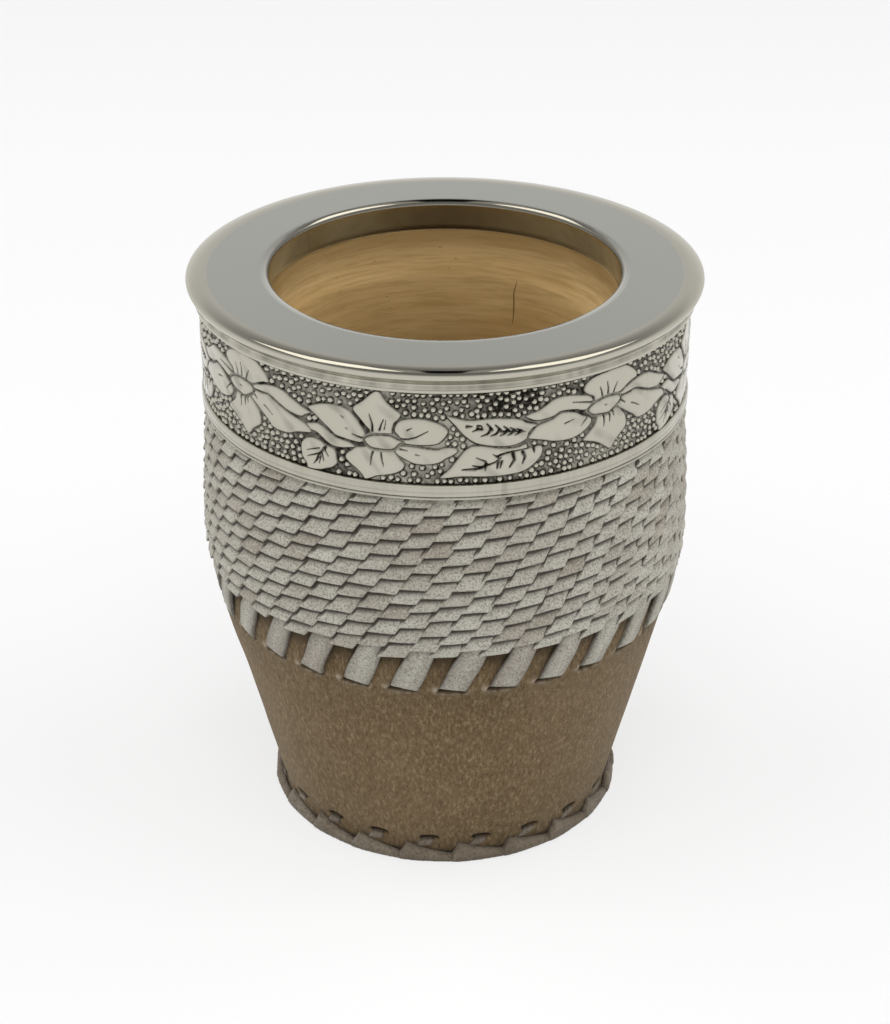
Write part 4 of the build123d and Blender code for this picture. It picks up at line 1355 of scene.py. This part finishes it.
def closed_disc(name, profile, angles, slot, node, values=None, lift=None):
    """A turned solid on the axis: its profile carried round, and one point on the axis at each end."""
    angle, columns = angles[None, :], len(angles)
    radius, z = profile[:, :1], profile[:, 1:]
    moved = radius + (lift(angle, radius, z) if lift else 0 * angle)
    ring = on_cup(angle, moved, z).reshape(-1, 3)
    points = np.concatenate([ring, [(0, 0, z[0, 0]), (0, 0, z[-1, 0])]])
    faces = grid_faces(len(profile), columns, wrap_columns=True)
    first, last = len(ring), len(ring) + 1
    around = np.arange(columns)
    after = (around + 1) % columns
    top = (len(profile) - 1) * columns
    caps = list(np.stack([np.full(columns, first), after, around], -1))
    caps += list(np.stack([top + around, top + after, np.full(columns, last)], -1))
    numbers = {
        key: np.append(np.broadcast_to(make(angle, radius, z), (len(profile), columns)).ravel(), [0, 0])
        for key, make in (values or {}).items()
    }
    piece = new_piece(name, points, faces, caps, numbers)
    smooth = np.ones(len(piece.data.polygons), bool)
    piece.data.polygons.foreach_set("use_smooth", smooth)
    return ride_for(piece, slot, node)


# ----------------------------------------------------------------------------------------------
# The turned cup


def build_wood(settings):
    """The turned cup: the outside up to the shoulder under the plate, then down the cavity to its floor."""
    neck, floor = settings.neck_radius, settings.floor_height
    outer = [(0.4, 2.45), (10, 2.45), (20, 2.45), (29.4, 2.45), (29.7, 2.8), (29.7, 3.2)]
    brim, shelf = CUP_TOP / MM, COLLAR_FOOT / MM - 0.05
    outer += [(39.4, 42.0), (40.3, 50.0), (40.3, 60), (40.3, 80), (40.3, brim - 0.3), (40.0, brim)]
    top = [(31.9, brim), (31.6, brim - 0.3), (31.55, shelf), (31.0, shelf)]
    wall_z = np.concatenate([np.linspace(shelf - 0.15, 76, 70), np.linspace(75, 20, 45)])
    wall_z = np.append(wall_z, np.linspace(19.4, floor / MM + 0.05, 12))
    wall_r = np.interp(
        wall_z,
        [15.0, 15.3, 16.2, 18, 21, 27, 36, 50, 65, 80, 91, 99],
        [8.0, 11.5, 15.5, 18.6, 21.2, 23.6, 25.3, 27.2, 28.75, 29.9, neck / MM, 30.95],
    )
    wall = np.stack([wall_r, wall_z], -1)
    bottom = [(5.0, floor / MM), (2.5, floor / MM), (0.4, floor / MM)]
    profile = np.concatenate([np.array(outer), np.array(top), wall, bottom]) * MM
    in_cavity = np.arange(len(profile))[:, None] >= len(outer) + len(top)
    rng = np.random.default_rng(61)

    def lift(angle, radius, z):
        rings = 0.018 * MM * np.sin(z / (0.42 * MM)) + 0.03 * MM * np.sin(z / (1.7 * MM) + 1.0)
        uneven = swell(rng, angle, z, 4, 40 * MM, 0.08 * MM)
        return np.where(in_cavity & (z > floor + 0.6 * MM), rings + uneven, 0)

    def crack(angle, radius, z):
        radius_there = 29.8 * MM
        middle = math.radians(CRACK_AT) - 0.006 * np.sin((z - 80 * MM) / (2.2 * MM))
        middle = middle - 0.024 * smooth_step(86.5 * MM, 89.5 * MM, z)
        off = np.abs(angle - middle) * radius_there
        wide = 0.11 * MM * np.sin(np.pi * np.clip((z - 80.5 * MM) / (9.0 * MM), 0, 1)) ** 0.7
        return hump(off, 0, wide + 0.02 * MM) * (wide > 0.01 * MM) * in_cavity

    def under(angle, radius, z):
        return smooth_step(90 * MM, 98 * MM, z) * in_cavity + 0 * angle

    def deep(angle, radius, z):
        # painted shade: darker below a line where the front of the rim's shadow falls on the wall, highest at
        # the back, and darker still towards the floor
        line = 90.5 * MM - 4.0 * MM * (1 + np.cos(angle)) + waves(rng, angle, 1, 4, 0.6 * MM)
        in_rim_shadow = 0.55 * smooth_step(line + 1.0 * MM, line - 3.0 * MM, z)
        return in_cavity * (in_rim_shadow + 0.45 * smooth_step(90 * MM, 66 * MM, z))

    beside_crack = 0.045  # radians on each side of it where the columns stand closer
    near_crack = math.radians(CRACK_AT) + np.linspace(-beside_crack, beside_crack, 81)
    elsewhere = np.linspace(near_crack[-1], near_crack[0] + 2 * np.pi, 520)[1:-1]
    columns = np.concatenate([near_crack, elsewhere])
    values = {"crack": crack, "under": under, "deep": deep}
    return closed_disc("wood_bowl", profile, columns, "wood", "turned_cup", values, lift)


def wood_material(settings):
    """Pale wood on its side: wide uneven bands, fine grain and dark pores, oiled where it meets the metal,
    painted shade deep inside.
    """
    finish = Finish("wood")
    grain = finish.noise(1.0, 3, 0.6, 0.4, place=finish.stretched(22, 40, 150))
    bands = finish.noise(1.0, 2, 0.5, 0.8, place=finish.stretched(14, 24, 75))
    fine = finish.noise(1.0, 3, 0.7, 0.3, place=finish.stretched(110, 110, 1500))
    pores = finish.noise(1.0, 2, 0.6, place=finish.stretched(700, 700, 1300))
    base = finish.mix(finish.ramp(bands, 0.35, 0.65), rgb(settings.pale), rgb(settings.dark))
    base = finish.mix(finish.ramp(grain, 0.5, 0.75, 0.0, 0.45), base, (0.46, 0.29, 0.105))
    base = finish.mix(finish.ramp(fine, 0.42, 0.66, 0.0, 0.5), base, (0.42, 0.28, 0.11))
    base = finish.mix(finish.ramp(pores, 0.70, 0.78, 0.0, 0.6), base, (0.10, 0.05, 0.02))
    # painted shade deep in the cavity
    base = finish.mix(finish.math("MULTIPLY", finish.attribute("deep"), 0.62), base, (0.20, 0.125, 0.042))
    base = finish.mix(finish.math("MULTIPLY", finish.attribute("under"), 0.68), base, (0.20, 0.12, 0.04))
    base = finish.mix(finish.attribute("crack"), base, (0.06, 0.028, 0.012))
    finish.set(Base_Color=base, Roughness=0.62, IOR=1.45, Specular_IOR_Level=0.3)
    finish.set(Normal=finish.bump(fine, 0.25, 0.0002))
    return finish


# ----------------------------------------------------------------------------------------------
# Studio

DARK_SKY = (0, 0.643, 0.766)  # middle of the dim part of the sky, 50 degrees up behind


def flat_sheet(name, width, height, material):
    """A rectangle lying flat with its middle at its origin."""
    x, y = width / 2, height / 2
    mesh = bpy.data.meshes.new(name)
    mesh.from_pydata([(-x, -y, 0), (x, -y, 0), (x, y, 0), (-x, y, 0)], [], [(0, 1, 2, 3)])
    mesh.materials.append(material)
    return bpy.data.objects.new(name, mesh)


def glowing(name, colour, strength):
    """A material that only gives light."""
    material = bpy.data.materials.new(name)
    material.use_nodes = True
    tree = material.node_tree
    tree.nodes.clear()
    glow = tree.nodes.new("ShaderNodeEmission")
    glow.inputs["Color"].default_value = (*colour, 1)
    glow.inputs["Strength"].default_value = strength
    output = tree.nodes.new("ShaderNodeOutputMaterial")
    tree.links.new(glow.outputs["Emission"], output.inputs["Surface"])
    return material


def aimed(thing, place, target):
    """Links a stage object at a place, turned so that its -Z points at a target."""
    bpy.context.scene.collection.objects.link(thing)
    aim = np.subtract(target, place)
    thing.location = place
    thing.rotation_euler = (math.atan2(math.hypot(aim[0], aim[1]), -aim[2]), 0, math.atan2(-aim[0], aim[1]))
    return thing


def soft_lamp(name, place, target, size, power):
    """A rectangular area lamp at a place, turned towards a target."""
    lamp = bpy.data.lights.new(name, "AREA")
    lamp.shape = "RECTANGLE"
    lamp.size, lamp.size_y = size
    lamp.energy = power
    thing = aimed(bpy.data.objects.new(name, lamp), place, target)
    thing.visible_glossy = False
    return thing


def mirrored_card(name, place, target, size, level):
    """A card of one level of light that only reflections see."""
    card = flat_sheet(name, *size, glowing(name, (1.0, 0.98, 0.93), level))
    aimed(card, place, target)
    card.visible_camera = card.visible_diffuse = card.visible_shadow = card.visible_transmission = False
    return card


def build_world(settings):
    """White for the camera, an even pale sky for light, and for reflections a sky dim high up behind."""
    world = bpy.data.worlds.new("studio")
    bpy.context.scene.world = world
    world.use_nodes = True
    world.node_tree.nodes.clear()
    new, link = world.node_tree.nodes.new, world.node_tree.links.new
    path = new("ShaderNodeLightPath")
    place = new("ShaderNodeTexCoord")
    near = new("ShaderNodeVectorMath")
    near.operation = "DOT_PRODUCT"
    near.inputs[1].default_value = DARK_SKY
    link(place.outputs["Generated"], near.inputs[0])
    ramp = new("ShaderNodeValToRGB")
    stops = ((0.6, 1.0), (0.80, 0.90), (0.89, 0.72), (0.93, 0.45), (0.97, 0.24), (1.0, 0.22))
    for share, _ in stops[1:-1]:
        ramp.color_ramp.elements.new(share)
    for element, (share, level) in zip(ramp.color_ramp.elements, stops):
        element.position = share
        element.color = (level, level, level, 1)
    link(near.outputs["Value"], ramp.inputs["Fac"])
    mirror = new("ShaderNodeBackground")
    link(ramp.outputs["Color"], mirror.inputs["Color"])
    fill = new("ShaderNodeBackground")
    fill.inputs["Strength"].default_value = settings.world_strength
    white = new("ShaderNodeBackground")
    white.inputs["Strength"].default_value = 1.0
    by_glossy = new("ShaderNodeMixShader")
    link(path.outputs["Is Glossy Ray"], by_glossy.inputs["Fac"])
    link(fill.outputs["Background"], by_glossy.inputs[1])
    link(mirror.outputs["Background"], by_glossy.inputs[2])
    seen = new("ShaderNodeMath")
    seen.operation = "MAXIMUM"
    link(path.outputs["Is Camera Ray"], seen.inputs[0])
    link(path.outputs["Is Transmission Ray"], seen.inputs[1])
    by_camera = new("ShaderNodeMixShader")
    link(seen.outputs["Value"], by_camera.inputs["Fac"])
    link(by_glossy.outputs["Shader"], by_camera.inputs[1])
    link(white.outputs["Background"], by_camera.inputs[2])
    output = new("ShaderNodeOutputWorld")
    link(by_camera.outputs["Shader"], output.inputs["Surface"])


def build_floor():
    """A wide pale floor, lit up a little where it is looked at."""
    finish = Finish("floor")
    finish.set(Base_Color=(0.86, 0.86, 0.86), Roughness=0.9, Specular_IOR_Level=0.1)
    path = finish.tree.nodes.new("ShaderNodeLightPath")
    seen = finish.math("MAXIMUM", path.outputs["Is Camera Ray"], path.outputs["Is Glossy Ray"])
    seen = finish.math("MAXIMUM", seen, path.outputs["Is Transmission Ray"])
    glow = finish.tree.nodes.new("ShaderNodeEmission")
    whiter = finish.tree.nodes.new("ShaderNodeMixShader")
    finish.link(finish.math("MULTIPLY", seen, 0.6), whiter.inputs["Fac"])
    finish.link(finish.shader.outputs["BSDF"], whiter.inputs[1])
    finish.link(glow.outputs["Emission"], whiter.inputs[2])
    finish.link(whiter.outputs["Shader"], finish.output.inputs["Surface"])
    width = 6.0
    floor = flat_sheet("floor", width, width, finish.material)
    bpy.context.scene.collection.objects.link(floor)


def build_camera(settings):
    """The camera, in front of the cup and looking down at it."""
    camera = bpy.data.cameras.new("camera")
    camera.lens = settings.lens
    thing = bpy.data.objects.new("camera", camera)
    bpy.context.scene.collection.objects.link(thing)
    pitch = settings.camera_pitch
    reach = settings.camera_distance
    thing.location = (0, -reach * math.cos(pitch), settings.target_height + reach * math.sin(pitch))
    thing.rotation_euler = (math.pi / 2 - pitch, 0, 0)
    bpy.context.scene.camera = thing
    bpy.context.scene.view_settings.view_transform = "Standard"


def build_studio(settings):
    """The world, the floor, three lamps, the cards that only reflections see, and the camera."""
    build_world(settings)
    build_floor()
    middle = (0, 0, 60 * MM)
    power = settings.lamp_power
    sides = (("left", -1), ("right", 1))
    for name, side in sides:
        soft_lamp(f"lamp_{name}", (0.62 * side, -0.02, 0.78), middle, (1.1, 0.55), power)
    soft_lamp("lamp_front", (0, -0.62, 0.95), middle, (0.6, 0.4), 0.6 * power)
    mirrored_card("card_dark", (0, 0.67, 0.80), middle, (0.056, 0.20), 0.004)
    for name, side in sides:
        mirrored_card(f"card_dim_{name}", (0.048 * side, 0.67, 0.80), middle, (0.036, 0.20), 0.42)
    for name, side in sides:
        mirrored_card(f"card_{name}", (0.168 * side, 0.66, 0.79), middle, (0.20, 0.19), 1.9)
    build_camera(settings)


# ----------------------------------------------------------------------------------------------
# The add-on


def whole(*pieces):
    """Stops with an error when a piece has no faces or a point that is not a number."""
    for piece in pieces:
        points = np.empty(len(piece.data.vertices) * 3)
        piece.data.vertices.foreach_get("co", points)
        if not len(piece.data.polygons) or not np.isfinite(points).all():
            raise RuntimeError(f"{piece.name} could not be built")


class MATECUP_OT_rim(Operator):
    """Builds the rim with its collar"""

    bl_idname = "mate_cup.rim"
    bl_label = "Rim"

    def execute(self, context):
        settings = context.scene.mate_cup_metal
        rim = build_rim(settings)
        whole(rim)
        metal_material("rim_metal", settings, satin=True).on(rim)
        return {"FINISHED"}


class MATECUP_OT_band(Operator):
    """Builds the chased band and the trim under it"""

    bl_idname = "mate_cup.band"
    bl_label = "Band and trim"

    def execute(self, context):
        settings = context.scene.mate_cup_metal
        pieces = [*build_chased_band(settings), build_trim()]
        whole(*pieces)
        metal_material("band_metal", settings).on(*pieces)
        return {"FINISHED"}


class MATECUP_OT_straps(Operator):
    """Builds the woven straps and their tails"""

    bl_idname = "mate_cup.straps"
    bl_label = "Woven straps"

    def execute(self, context):
        settings = context.scene.mate_cup_strap
        pieces = [build_weave(settings), build_tails(settings)]
        whole(*pieces)
        strap_material(settings).on(*pieces)
        return {"FINISHED"}


class MATECUP_OT_cover(Operator):
    """Builds the suede cover, the lacing at its foot and the sole"""

    bl_idname = "mate_cup.cover"
    bl_label = "Cover and lacing"

    def execute(self, context):
        settings = context.scene.mate_cup_cover
        cover = build_cover(settings, context.scene.mate_cup_strap.columns // 2)
        sole = build_sole()
        lacing = build_lacing(settings)
        whole(cover, sole, *lacing)
        suede_material(settings).on(cover, sole)
        lacing_material(settings).on(*lacing)
        return {"FINISHED"}


class MATECUP_OT_wood(Operator):
    """Builds the turned cup inside"""

    bl_idname = "mate_cup.wood"
    bl_label = "Turned cup"

    def execute(self, context):
        settings = context.scene.mate_cup_wood
        cup = build_wood(settings)
        whole(cup)
        wood_material(settings).on(cup)
        return {"FINISHED"}


class MATECUP_OT_studio(Operator):
    """Builds the floor, the lamps and the camera"""

    bl_idname = "mate_cup.studio"
    bl_label = "Studio"

    def execute(self, context):
        build_studio(context.scene.mate_cup_studio)
        if context.scene.camera is None:
            raise RuntimeError("the studio has no camera")
        return {"FINISHED"}


OPERATORS = (
    MATECUP_OT_rim,
    MATECUP_OT_band,
    MATECUP_OT_straps,
    MATECUP_OT_cover,
    MATECUP_OT_wood,
    MATECUP_OT_studio,
)


class MATECUP_PT_panel(Panel):
    """Lists the steps that build the cup, in order."""

    bl_label = "Mate Cup"
    bl_idname = "MATECUP_PT_panel"
    bl_space_type = "VIEW_3D"
    bl_region_type = "UI"
    bl_category = "Mate Cup"

    def draw(self, context):
        for operator in OPERATORS:
            self.layout.operator(operator.bl_idname)


SETTINGS = {
    "mate_cup_metal": MetalSettings,
    "mate_cup_strap": StrapSettings,
    "mate_cup_cover": CoverSettings,
    "mate_cup_wood": WoodSettings,
    "mate_cup_studio": StudioSettings,
}


def register():
    for group in SETTINGS.values():
        bpy.utils.register_class(group)
    for operator in OPERATORS:
        bpy.utils.register_class(operator)
    bpy.utils.register_class(MATECUP_PT_panel)
    for name, group in SETTINGS.items():
        setattr(bpy.types.Scene, name, PointerProperty(type=group))


def unregister():
    for name in SETTINGS:
        delattr(bpy.types.Scene, name)
    bpy.utils.unregister_class(MATECUP_PT_panel)
    for operator in reversed(OPERATORS):
        bpy.utils.unregister_class(operator)
    for group in reversed(SETTINGS.values()):
        bpy.utils.unregister_class(group)


def main():
    register()
    bpy.ops.mate_cup.rim()
    bpy.ops.mate_cup.band()
    bpy.ops.mate_cup.straps()
    bpy.ops.mate_cup.cover()
    bpy.ops.mate_cup.wood()
    bpy.ops.mate_cup.studio()


if __name__ == "__main__":
    main()
